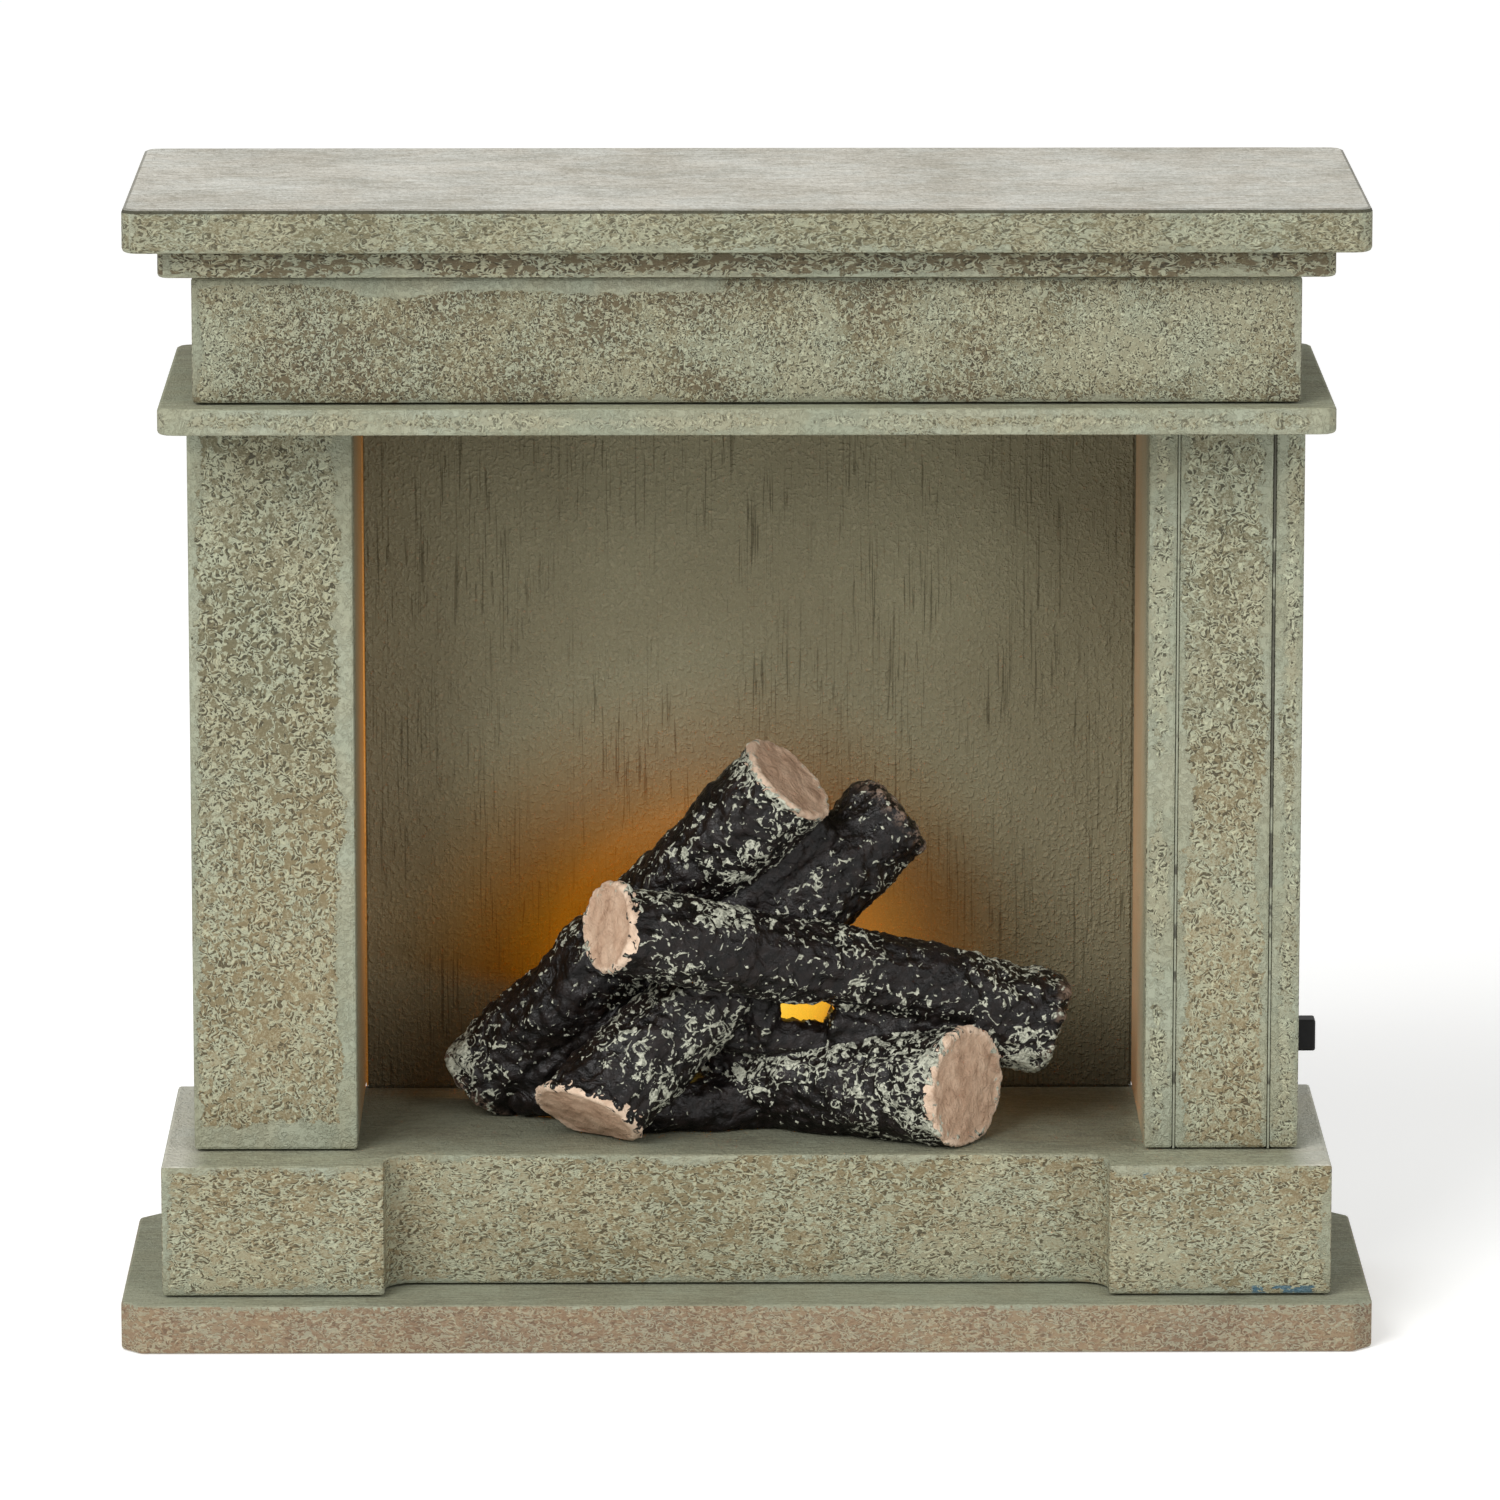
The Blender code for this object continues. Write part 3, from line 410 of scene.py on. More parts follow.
def paint_boards():
    jamb = {"-x": 0.8, "+x": 2.2, "-z": 3.4, "+z": 1.6, "-y": 1.0, "+y": 1.0}
    level_grain = (0.75, 0.75, 1.25)
    looks = {
        "left_jamb": dict(
            tones=SAGE_TONES,
            borders=jamb,
            shift=-0.16,
            lower_tones=WARM_TONES,
            lamp=("+x", 0.42, "a8681a", "8e7a5b"),
        ),
        "right_jamb_inner_board": dict(
            tones=SAGE_TONES,
            borders={"-x": 0.9, "+x": 1.4, "-z": 2.0, "+z": 1.6},
            shift=0.35,
            lamp=("-x", 0.2, "a06a44", "a5977c"),
        ),
        "right_jamb_front_strip": dict(
            tones=SAGE_TONES,
            borders={"-x": 1.2, "+x": 1.0, "-z": 0.6, "+z": 1.8},
            lower_tones=WARM_TONES,
        ),
        "right_jamb_outer_board": dict(
            tones=SAGE_TONES,
            borders={"-x": 0.9, "+x": 0.2, "-z": 0.6, "+z": 1.0},
            shift=0.25,
        ),
        "frieze_block": dict(
            tones=OLIVE_TONES,
            borders={"-x": 0.4, "+x": 0.3, "-z": 0.2, "+z": 0.2},
            shift=-0.16,
            curl=1.55,
            drift=4.0,
            patches=[(-75, -52, "+z", 1.2), (-52, -4, "+z", 2.2)],
        ),
        "lower_shelf": dict(
            tones=SAGE_TONES,
            borders={"-x": 4.0, "+x": 4.0, "-z": 1.1, "+z": 1.1},
            shift=0.3,
            contrast=0.7,
        ),
        "bed_moulding": dict(
            tones=OLIVE_TONES,
            borders={"-x": 2.0, "+x": 2.0, "-z": 0.6},
            shift=-0.40,
            stretch=level_grain,
        ),
        "mantel_shelf": dict(
            tones=SAGE_TONES,
            borders={"-x": 2.0, "+x": 1.4, "-z": 0.4, "+z": 0.3},
            shift=-0.05,
            stretch=level_grain,
            contrast=0.75,
            top_tones=SHEEN_PALED_TOP,
            arris=0.9,
        ),
        "plinth_block": dict(
            tones=WARM_TONES,
            borders={"-x": 0.8, "+x": 0.8, "-z": 0.5, "+z": 0.6},
            stretch=level_grain,
            curl=1.1,
            drift=2.2,
            hearth=True,
            specks=[(70.5, 79.8, 7.2, 8.6), (55.2, 56.4, 23.8, 24.9)],
        ),
        "base_board": dict(
            tones=BASE_TONES,
            borders={"+z": 0.1},
            curl=1.25,
            stretch=level_grain,
            contrast=0.6,
            relief=0.5,
            top_tones=SHADED_TOP,
        ),
    }
    for node, look in looks.items():
        wear(node, board_paint(node + "_paint", node_box_mm(node), **look))


# The lamp's light on the back panel, painted as emission: its colour at a distance in mm from
# its brightest place.
GLOW = [
    (6, "ffe66c"),
    (12.2, "efbd36"),
    (15, "e4ae2a"),
    (16.8, "d49a22"),
    (18.7, "6b3800"),
    (23.2, "6f3c00"),
    (26.3, "562e00"),
    (31.3, "391800"),
    (37.5, "261000"),
]
GLOW_END = 44.5
GLOW_SIDE, GLOW_RISE = 2.0, 9.5  # of the brightest place, to the right of the lamp and over it
SPILL = "5d4624"  # light that comes out between the logs, right of the lamp
SPILL_OFF_X, SPILL_OFF_Z, SPILL_REACH = 19.0, 2.5, 23.0  # from the brightest place
LAMP_TINT_OFF_X, LAMP_TINT_HALF_WIDTH = -3.8, 13.2  # of the lamp's light painted into the colour as a warm tint, from the brightest place
LAMP_TINT_RISE = 5.0  # over the lamp


def brushed_paint(g, strokes, grain):
    """Taupe paint with upright brush strokes and grains in it."""
    breaks = g.noise(0.07, 3.0, stretch=(1.4, 1.4, 0.7))
    cloud = g.noise(0.03, 2.0)
    stroke = g.times(g.rise(strokes, 0.36, 0.43, 1.0, 0.0), g.rise(breaks, 0.40, 0.55))
    base = g.blend(g.rise(cloud, 0.35, 0.65), srgb("7f7a63"), srgb("88846c"))
    base = g.blend(g.rise(grain, 0.36, 0.6, 0.42, 0.0), base, srgb("5a5541"))
    return g.blend(g.times(stroke, 0.7), base, srgb("4c4736"))


def lamp_glow(g, distance, off_x, off_z):
    """The lamp's light on the panel, and the light that comes out between the logs."""
    stops = [(place / GLOW_END, code) for place, code in GLOW] + [(1.0, "000000")]
    glow = g.ramp(g.math("DIVIDE", distance, GLOW_END), stops)
    spill_x = g.math("SUBTRACT", off_x, SPILL_OFF_X)
    spill_z = g.math("SUBTRACT", off_z, SPILL_OFF_Z)
    near_spill = g.rise(g.length(spill_x, spill_z), 0.0, SPILL_REACH, 1.0, 0.0)
    return g.blend(1.0, glow, g.blend(near_spill, BLACK, srgb(SPILL)), "ADD")


def edge_leak(g, panel_left, grain):
    """A thin line of light past the panel's left edge, strongest low down."""
    edge = g.rise(g.axes[0], panel_left - 0.02, panel_left - 0.01, 1.0, 0.0)
    rising = g.rise(g.math("ADD", g.axes[2], g.uneven(grain, 40)), 40.0, 75.0, 0.4, 1.0)
    return g.times(g.times(edge, rising), g.rise(g.axes[2], 80, 130, 0.9, 0.22))


def firebox_paint():
    """The back panel: brushed paint, painted shade low down, and the lamp's light as tint and glow."""
    lamp_low, lamp_high = node_box_mm("led_lens")
    panel_left, _, panel_bottom = node_box_mm("back_panel")[0]
    g = Graph("firebox_brushed", Specular_IOR_Level=0.06)
    strokes = g.noise(3.0, 2.0, 0.9, stretch=(1.0, 1.0, 0.026), turn=(0, math.radians(2), 0))
    grain = g.noise(1.9, 2.5, 0.3)
    front = g.math("LESS_THAN", g.normal[1], -0.5)
    colour = brushed_paint(g, strokes, grain)
    # Painted shade: the panel darker towards the bottom of the firebox.
    painted_shade = g.times(g.rise(g.axes[2], panel_bottom + 3.0, panel_bottom + 27.0, 0.52, 0.0), front)
    colour = g.blend(painted_shade, colour, srgb("16130c"))

    lamp_x = (lamp_low[0] + lamp_high[0]) / 2
    off_x = g.math("SUBTRACT", g.axes[0], lamp_x + GLOW_SIDE)
    off_z = g.math("SUBTRACT", g.axes[2], lamp_high[2] + GLOW_RISE)
    distance = g.length(off_x, off_z)
    wide_x = g.math("ABSOLUTE", g.math("SUBTRACT", off_x, LAMP_TINT_OFF_X))
    wide_x = g.math("MAXIMUM", g.math("SUBTRACT", wide_x, LAMP_TINT_HALF_WIDTH), 0.0)
    spread = g.length(wide_x, g.math("SUBTRACT", g.axes[2], lamp_high[2] + LAMP_TINT_RISE))
    shadow_line = g.math("ADD", g.axes[2], g.times(g.math("ABSOLUTE", off_x), -0.19))
    seen = g.largest(
        g.rise(shadow_line, lamp_high[2] - 1.5, lamp_high[2] + 4.0),
        g.rise(distance, 18.0, 21.0, 1.0, 0.0),
    )
    # Painted light: the panel's colour tinted amber around the lamp, less in the logs' shadow.
    tint = g.times(g.rise(spread, 12.0, 47.0, 0.96, 0.0), front)
    tint = g.times(tint, g.math("ADD", g.times(seen, 0.45), 0.55))
    colour = g.blend(tint, colour, srgb("c49500"), "MULTIPLY")
    # Painted light: the lamp's glow and the line of light past the panel's edge, given as emission.
    lit = g.blend(g.times(seen, front), BLACK, lamp_glow(g, distance, off_x, off_z))
    leak = g.times(edge_leak(g, panel_left, grain), front)
    g.emit(g.blend(leak, lit, srgb("b8721c")))
    height = g.total(g.rise(grain, 0.42, 0.75), g.times(strokes, 0.4))
    wear("back_panel", g.finish(colour, 0.72, height, 0.26, 0.95))


def fill_seams(name, spans, material):
    """Thin strips of paint, one for each (low corner, high corner) span, in one piece."""
    bm = bmesh.new()
    for low, high in spans:
        low, high = Vector(low), Vector(high)
        made = bmesh.ops.create_cube(bm, size=1.0)["verts"]
        bmesh.ops.scale(bm, vec=high - low, verts=made)
        bmesh.ops.translate(bm, vec=(low + high) / 2, verts=made)
    mesh = bpy.data.meshes.new(name)
    bm.to_mesh(mesh)
    bm.free()
    mesh.materials.append(material)
    ob = bpy.data.objects.new(name, mesh)
    bpy.context.scene.collection.objects.link(ob)
    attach(ob, "mantel")


SEAM_CLEARANCE = 0.02 * MM


def panel_seams():
    """Paint that bridges the joint between the back panel and the boards around it."""
    low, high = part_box("back_panel")
    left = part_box("left_jamb")[1].x + SEAM_CLEARANCE
    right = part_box("right_jamb_inner_board")[0].x - SEAM_CLEARANCE
    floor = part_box("plinth_block")[1].z + SEAM_CLEARANCE
    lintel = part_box("lower_shelf")[0].z - SEAM_CLEARANCE
    front, back = low.y + 0.3 * MM, high.y - 0.3 * MM
    spans = [
        ((left, front, low.z), (low.x - SEAM_CLEARANCE, back, high.z)),
        ((high.x + SEAM_CLEARANCE, front, low.z), (right, back, high.z)),
        ((low.x, front, floor), (high.x, back, low.z - SEAM_CLEARANCE)),
        ((low.x, front, high.z + SEAM_CLEARANCE), (high.x, back, lintel)),
    ]
    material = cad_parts["back_panel"].material_slots[0].material
    fill_seams("panel_seam_paint", spans, material)


def jamb_seams():
    """Paint in the two upright joints of the right jamb, cracked here and there."""
    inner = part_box("right_jamb_inner_board")
    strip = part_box("right_jamb_front_strip")
    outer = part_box("right_jamb_outer_board")
    g = Graph("seam_paint_cracked", Specular_IOR_Level=0.4)
    along = g.noise(0.28, 3.0, stretch=(0.1, 0.1, 1.0))
    grain = g.noise(2.0, 2.0)
    outer_seam = g.rise(g.axes[0], 64.0, 68.0)
    upper = g.rise(g.axes[2], 50.0, 85.0)
    crack = g.rise(g.math("ADD", along, g.times(g.times(outer_seam, upper), 0.22)), 0.58, 0.66)
    paint = g.blend(grain, srgb(PAINT), srgb("6c6d59"))
    colour = g.blend(g.times(crack, 0.85), paint, srgb("2d2a20"))
    material = g.finish(colour, 0.75, grain, 0.1, 0.5)
    front, back = strip[0].y + 0.06 * MM, strip[0].y + 1.2 * MM
    spans = [
        (
            (before[1].x + SEAM_CLEARANCE, front, strip[0].z),
            (after[0].x - SEAM_CLEARANCE, back, strip[1].z),
        )
        for before, after in ((inner, strip), (strip, outer))
    ]
    fill_seams("jamb_seam_paint", spans, material)


# ---- other finishes ----------------------------------------------------------------------------
def plain_finish(
    name, dark, light, roughness, metallic=0.0, scale=1.2, depth_mm=0.02, **constants
):
    """A moulded, drawn or plated surface: two close tones, uneven gloss and a fine relief."""
    g = Graph(name, Metallic=metallic, **constants)
    cloud = g.noise(scale * 0.2, 3.0)
    grain = g.noise(scale * 3.0, 2.0)
    colour = g.blend(g.rise(cloud, 0.3, 0.7), srgb(dark), srgb(light))
    gloss = g.math("ADD", g.times(grain, 0.18), roughness - 0.09)
    return g.finish(colour, gloss, grain, depth_mm, 0.6)


def lamp_epoxy():
    g = Graph("amber_epoxy_lit", IOR=1.5, Transmission_Weight=0.35)
    depth = g.noise(0.8, 2.0)
    colour = g.blend(g.rise(depth, 0.3, 0.7), srgb("ff9a1a"), srgb("ffb63c"))
    g.feed(g.shader.inputs["Emission Color"], colour)
    g.shader.inputs["Emission Strength"].default_value = 6.0
    return g.finish(colour, 0.15, depth, 0.02, 0.3)


def cell_sleeve(node):
    """A printed sleeve in two bands, bare metal at both ends."""
    low, high = node_box_mm(node)
    g = Graph(node + "_sleeve")
    scuffs = g.noise(0.9, 4.0, 0.5)
    band = g.rise(g.axes[2], high[2] - 13.0, high[2] - 12.8)
    end = g.largest(
        g.rise(g.axes[2], high[2] - 1.5, high[2] - 1.4),
        g.rise(g.axes[2], low[2] + 0.6, low[2] + 0.7, 1.0, 0.0),
    )
    colour = g.blend(band, srgb("23384f"), srgb("b98a3a"))
    colour = g.blend(g.rise(scuffs, 0.62, 0.7), colour, srgb("8f9296"))
    colour = g.blend(end, colour, srgb("c9c6bf"))
    g.feed(g.shader.inputs["Metallic"], g.math("ADD", g.times(end, 0.7), 0.3))
    return g.finish(colour, g.rise(scuffs, 0.4, 0.7, 0.24, 0.42), scuffs, 0.02, 0.4)


def resistor_bands():
    """Tan lacquer with four colour bands across its length."""
    low, high = node_box_mm("led_resistor")
    g = Graph("resistor_lacquer_banded")
    along = g.math("DIVIDE", g.math("SUBTRACT", g.axes[0], low[0]), high[0] - low[0])
    bands = g.ramp(along, [(0.0, "c8a878"), (1.0, "c8a878")])
    for centre, code in ((0.2, "7a3b1c"), (0.4, "1c1c1c"), (0.58, "8b4513"), (0.84, "b8902c")):
        distance = g.math("ABSOLUTE", g.math("SUBTRACT", along, centre))
        bands = g.blend(g.rise(distance, 0.045, 0.06, 1.0, 0.0), bands, srgb(code))
    mottle = g.noise(3.0, 2.0)
    colour = g.blend(g.times(mottle, 0.2), bands, srgb("9b7d50"))
    return g.finish(colour, 0.4, mottle, 0.02, 0.4)


def small_parts():
    knob = plain_finish(
        "knob_satin", "060606", "0a0a0a", 0.42, scale=0.8, depth_mm=0.01, Specular_IOR_Level=0.2
    )
    housing = plain_finish("switch_moulding", "1b1b1c", "252526", 0.55)
    tray = plain_finish("tray_moulding", "1a1a1b", "262627", 0.5, scale=0.8, depth_mm=0.03)
    cover = plain_finish("cover_moulding", "1d1d1e", "29292a", 0.48, scale=0.8, depth_mm=0.04)
    steel = plain_finish("switch_steel_rolled", "8c8c8a", "a6a5a2", 0.32, 1.0)
    tinned = plain_finish("tinned_wire_drawn", "a9a8a2", "c2c0ba", 0.3, 1.0)
    nickel = plain_finish("nickel_plate", "b3aea3", "c9c4b8", 0.24, 1.0)
    zinc = plain_finish("zinc_plate", "9a9b98", "b5b6b1", 0.3, 1.0)
    red = plain_finish("red_insulation", "8f1812", "a52018", 0.42)
    black = plain_finish("black_insulation", "151515", "1f1f1f", 0.42)
    finishes = {
        "switch_knob": knob,
        "switch_body": housing,
        "battery_tray": tray,
        "battery_cover": cover,
        "switch_flange": steel,
        "contact_plate": nickel,
        "contact_spring": nickel,
        "cover_screw": zinc,
        "switch_screw_lower": zinc,
        "switch_screw_upper": zinc,
        "switch_pin_lower": tinned,
        "switch_pin_middle": tinned,
        "switch_pin_upper": tinned,
        "led_anode_leg": tinned,
        "led_cathode_leg": tinned,
        "led_lens": lamp_epoxy(),
        "led_resistor": resistor_bands(),
        "wire_battery_to_switch": red,
        "wire_lamp_to_switch": red,
        "wire_lamp_to_battery": black,
        "battery_lower": cell_sleeve("battery_lower"),
        "battery_upper": cell_sleeve("battery_upper"),
    }
    for node, material in finishes.items():
        wear(node, material)


# ---- log pile ------------------------------------------------------------------------------------
# Each log's axis as (x, y, z, radius) in millimetres, then the outward direction of each sawn
# end, or None for a bark end. The CAD part's plain logs have the same axes.
LOGS = {
    "rear_log": (
        [(-37.2, 17.0, 29.6, 7.2), (-15.0, 9.0, 53.4, 7.2), (6.2, 1.5, 77.0, 7.1)],
        None,
        (0.64, -0.26, 0.72),
    ),
    "front_log": (
        [(-22.6, -4.6, 29.9, 7.2), (-1.5, 4.0, 49.5, 6.8), (21.0, 12.5, 69.1, 6.7)],
        (-0.40, -0.54, -0.74),
        None,
    ),
    "top_log": (
        [
            (-19.3, -8.5, 57.9, 6.3),
            (-3.7, -5.0, 54.1, 6.0),
            (16.3, 1.0, 49.35, 5.75),
            (42.7, 6.5, 40.4, 7.2),
        ],
        (-0.85, -0.49, 0.19),
        None,
    ),
    "short_log": (
        [(30.9, -6.5, 34.2, 8.5), (14.8, 1.5, 32.6, 7.4), (-6.4, 12.0, 30.7, 6.2)],
        (0.80, -0.60, 0.03),
        None,
    ),
    "web_top_to_short": ([(12.9, 1.5, 41.8, 3.6), (30.0, 0.5, 38.5, 3.6)], None, None),
    "web_front_to_short": ([(-4.0, 5.0, 43.0, 3.8), (-2.0, 8.0, 34.0, 3.8)], None, None),
    "web_under_gap": ([(-2.0, 3.0, 39.5, 2.6), (14.0, 2.0, 39.3, 2.6)], None, None),
    "web_beside_gap": ([(2.3, 2.0, 40.0, 2.3), (2.3, 0.5, 46.5, 2.3)], None, None),
    "web_front_to_hearth": (
        [(-19.0, 1.0, 29.4, 4.2), (-8.0, 4.0, 29.4, 4.4), (2.0, 6.0, 29.4, 4.4)],
        None,
        None,
    ),
    "web_in_crotch": ([(-2.0, 4.0, 57.0, 4.4), (10.5, 7.0, 69.5, 3.8)], None, None),
    "web_rear_to_front": (
        [(-30.0, 11.5, 31.0, 3.2), (-22.0, 9.5, 38.0, 3.4), (-13.0, 8.5, 47.0, 3.4)],
        None,
        None,
    ),
    "web_low_ends": ([(-32.0, 13.0, 29.2, 3.4), (-20.0, 8.0, 29.2, 3.4)], None, None),
}
# How much of the dry brush each of the four logs took, all over and towards its sawn end; the
# webs behind them took hardly any.
LOG_FLECKS = [(-0.12, 0.5), (-0.16, 0.1), (0.0, 0.1), (0.12, -0.05)]
WEB_FLECKS = -0.5
STATION_MM = 1.0  # between the rings of a log's first mesh
OVERRUN_MM = 6.0  # past a sawn end, before it is sawn off
BARK_END_MM = 1.6  # of rounding past a bark end
LOG_SIDES = 48
VOXEL_MM = 0.40


def smooth_axis(points):
    """Stations about STATION_MM apart on a smooth curve through (x, y, z, radius) points."""
    pts = np.array(points, float)
    pts = np.vstack([2 * pts[0] - pts[1], pts, 2 * pts[-1] - pts[-2]])
    stations = []
    for before, start, end, after in zip(pts, pts[1:], pts[2:], pts[3:]):
        count = max(1, round(np.linalg.norm((end - start)[:3]) / STATION_MM))
        for t in np.arange(count) / count:
            bend = 2 * before - 5 * start + 4 * end - after
            twist = 3 * start - before - 3 * end + after
            stations.append(0.5 * (2 * start + (end - before) * t + bend * t**2 + twist * t**3))
    stations.append(pts[-2])
    return np.array(stations)


def extend(stations, length, shrink):
    """Adds stations past the last one, straight on, closing in where shrink is set."""
    way = stations[-1, :3] - stations[-2, :3]
    way /= np.linalg.norm(way)
    rings = []
    for t in np.linspace(0, 1, 5)[1:]:
        ring = stations[-1].copy()
        ring[:3] += way * length * t
        ring[3] *= math.sqrt(max(1 - (0.95 * t) ** 2, 0)) if shrink else 1.0
        rings.append(ring)
    return np.vstack([stations, rings])


def log_rings(stations, start_cut, end_cut):
    """The stations with both ends lengthened: past the saw cut, or into a rounded bark end."""
    for cut in (end_cut, start_cut):
        length = OVERRUN_MM if cut else BARK_END_MM
        stations = extend(stations, length, not cut)[::-1]
    return stations


def skin(bm, stations):
    """A closed round tube through the stations, in millimetres."""
    rings = []
    up = Vector((0, 0, 1))
    for i, station in enumerate(stations):
        ahead = stations[min(i + 1, len(stations) - 1)][:3] - stations[max(i - 1, 0)][:3]
        way = Vector(ahead).normalized()
        across = way.cross(up).normalized()
        over = across.cross(way)
        centre, radius = Vector(station[:3]), float(station[3])
        turns = [math.tau * k / LOG_SIDES for k in range(LOG_SIDES)]
        rings.append(
            [bm.verts.new(centre + radius * (across * math.cos(a) + over * math.sin(a))) for a in turns]
        )
    for lower, upper in zip(rings, rings[1:]):
        for k in range(LOG_SIDES):
            n = (k + 1) % LOG_SIDES
            bm.faces.new((lower[k], lower[n], upper[n], upper[k]))
    bm.faces.new(rings[0])
    bm.faces.new(rings[-1][::-1])


def saw(bm, point, normal):
    """Cuts away what lies beyond a plane and closes the end."""
    cut = bmesh.ops.bisect_plane(
        bm,
        geom=bm.verts[:] + bm.edges[:] + bm.faces[:],
        plane_co=point,
        plane_no=Vector(normal).normalized(),
        clear_outer=True,
    )
    rim = [e for e in cut["geom_cut"] if isinstance(e, bmesh.types.BMEdge)]
    bmesh.ops.contextual_create(bm, geom=rim)


def keep_largest_shell(mesh):
    """Delete every part of a mesh but its largest, such as voids that fusing leaves inside."""
    bm = bmesh.new()
    bm.from_mesh(mesh)
    seen, shells = set(), []
    for first in bm.verts:
        if first in seen:
            continue
        seen.add(first)
        shell = [first]
        for vert in shell:
            for edge in vert.link_edges:
                other = edge.other_vert(vert)
                if other not in seen:
                    seen.add(other)
                    shell.append(other)
        shells.append(shell)
    shells.sort(key=len)
    spare = [vert for shell in shells[:-1] for vert in shell]
    bmesh.ops.delete(bm, geom=spare, context="VERTS")
    bm.to_mesh(mesh)
    bm.free()


def rough_pile():
    """All the logs in one mesh, fused by a voxel remesh, in millimetres."""
    joined = bmesh.new()
    for points, start_cut, end_cut in LOGS.values():
        bm = bmesh.new()
        stations = smooth_axis(points)
        skin(bm, log_rings(stations, start_cut, end_cut))
        if start_cut:
            saw(bm, points[0][:3], start_cut)
        if end_cut:
            saw(bm, points[-1][:3], end_cut)
        bmesh.ops.recalc_face_normals(bm, faces=bm.faces)
        piece = bpy.data.meshes.new("log")
        bm.to_mesh(piece)
        bm.free()
        joined.from_mesh(piece)
        bpy.data.meshes.remove(piece)
    mesh = bpy.data.meshes.new("rough_pile")
    joined.to_mesh(mesh)
    joined.free()
    ob = bpy.data.objects.new("rough_pile", mesh)
    bpy.context.scene.collection.objects.link(ob)
    fuse = ob.modifiers.new("fuse", "REMESH")
    fuse.mode = "VOXEL"
    fuse.voxel_size = VOXEL_MM
    settle = ob.modifiers.new("settle", "SMOOTH")
    settle.factor = 0.5
    settle.iterations = 2
    graph = bpy.context.evaluated_depsgraph_get()
    fused = bpy.data.meshes.new_from_object(ob.evaluated_get(graph))
    bpy.data.objects.remove(ob)
    keep_largest_shell(fused)
    return fused


def log_coordinates(points):
    """For each point its log's number, its place along that log, its direction from the axis
    as an angle, the log's radius there, and its share of that radius from the axis."""
    count = len(points)
    best = np.full(count, 1e9)
    owner = np.zeros(count, int)
    along = np.zeros(count)
    angle = np.zeros(count)
    radius = np.zeros(count)
    share = np.zeros(count)
    for number, (axis, start_cut, end_cut) in enumerate(LOGS.values()):
        stations = log_rings(smooth_axis(axis), start_cut, end_cut)
        centres, radii = stations[:, :3], stations[:, 3]
        arc = np.concatenate([[0], np.cumsum(np.linalg.norm(np.diff(centres, axis=0), axis=1))])
        for begin in range(0, count, 20000):
            part = slice(begin, begin + 20000)
            offset = points[part, None, :] - centres[None]
            distance = np.linalg.norm(offset, axis=2) - radii[None]
            nearest = distance.argmin(1)
            rows = np.arange(len(nearest))
            closer = distance[rows, nearest] < best[part]
            index = np.arange(count)[part][closer]
            at = nearest[closer]
            best[index] = distance[rows, nearest][closer]
            owner[index] = number
            along[index] = arc[at]
            radius[index] = radii[at]
            way = centres[np.minimum(at + 1, len(arc) - 1)] - centres[np.maximum(at - 1, 0)]
            way /= np.linalg.norm(way, axis=1)[:, None]
            across = np.cross(way, (0, 0, 1))
            across /= np.linalg.norm(across, axis=1)[:, None]
            over = np.cross(across, way)
            away = points[index] - centres[at]
            along[index] += (away * way).sum(1)
            sideways, upward = (away * across).sum(1), (away * over).sum(1)
            angle[index] = np.arctan2(upward, sideways)
            share[index] = np.hypot(upward, sideways) / radii[at]
    return owner, along, angle, radius, share


def end_depths(points, owner):
    """How far each point lies inside its log's nearer sawn end, and inside its nearer bark end,
    in mm, 99 where there's none."""
    sawn, bark = np.full(len(points), 99.0), np.full(len(points), 99.0)
    for number, (axis, start_cut, end_cut) in enumerate(LOGS.values()):
        mine = owner == number
        for end, inner, normal in ((axis[0], axis[1], start_cut), (axis[-1], axis[-2], end_cut)):
            depth = sawn if normal else bark
            way = np.array(normal or np.subtract(end[:3], inner[:3]), float)
            way /= np.linalg.norm(way)
            inside = -(points[mine] - np.array(end[:3])) @ way
            depth[mine] = np.minimum(depth[mine], inside)
    bark[owner >= len(LOG_FLECKS)] = 99.0
    return sawn, bark


def noise_at(samples, octaves=3):
    """Fractal noise at each row of samples, from about -1 to 1."""
    return np.array([noise.fractal(Vector(s), 1.0, 2.0, octaves) for s in samples])


def step(value, low, high):
    t = np.clip((value - low) / (high - low), 0, 1)
    return t * t * (3 - 2 * t)


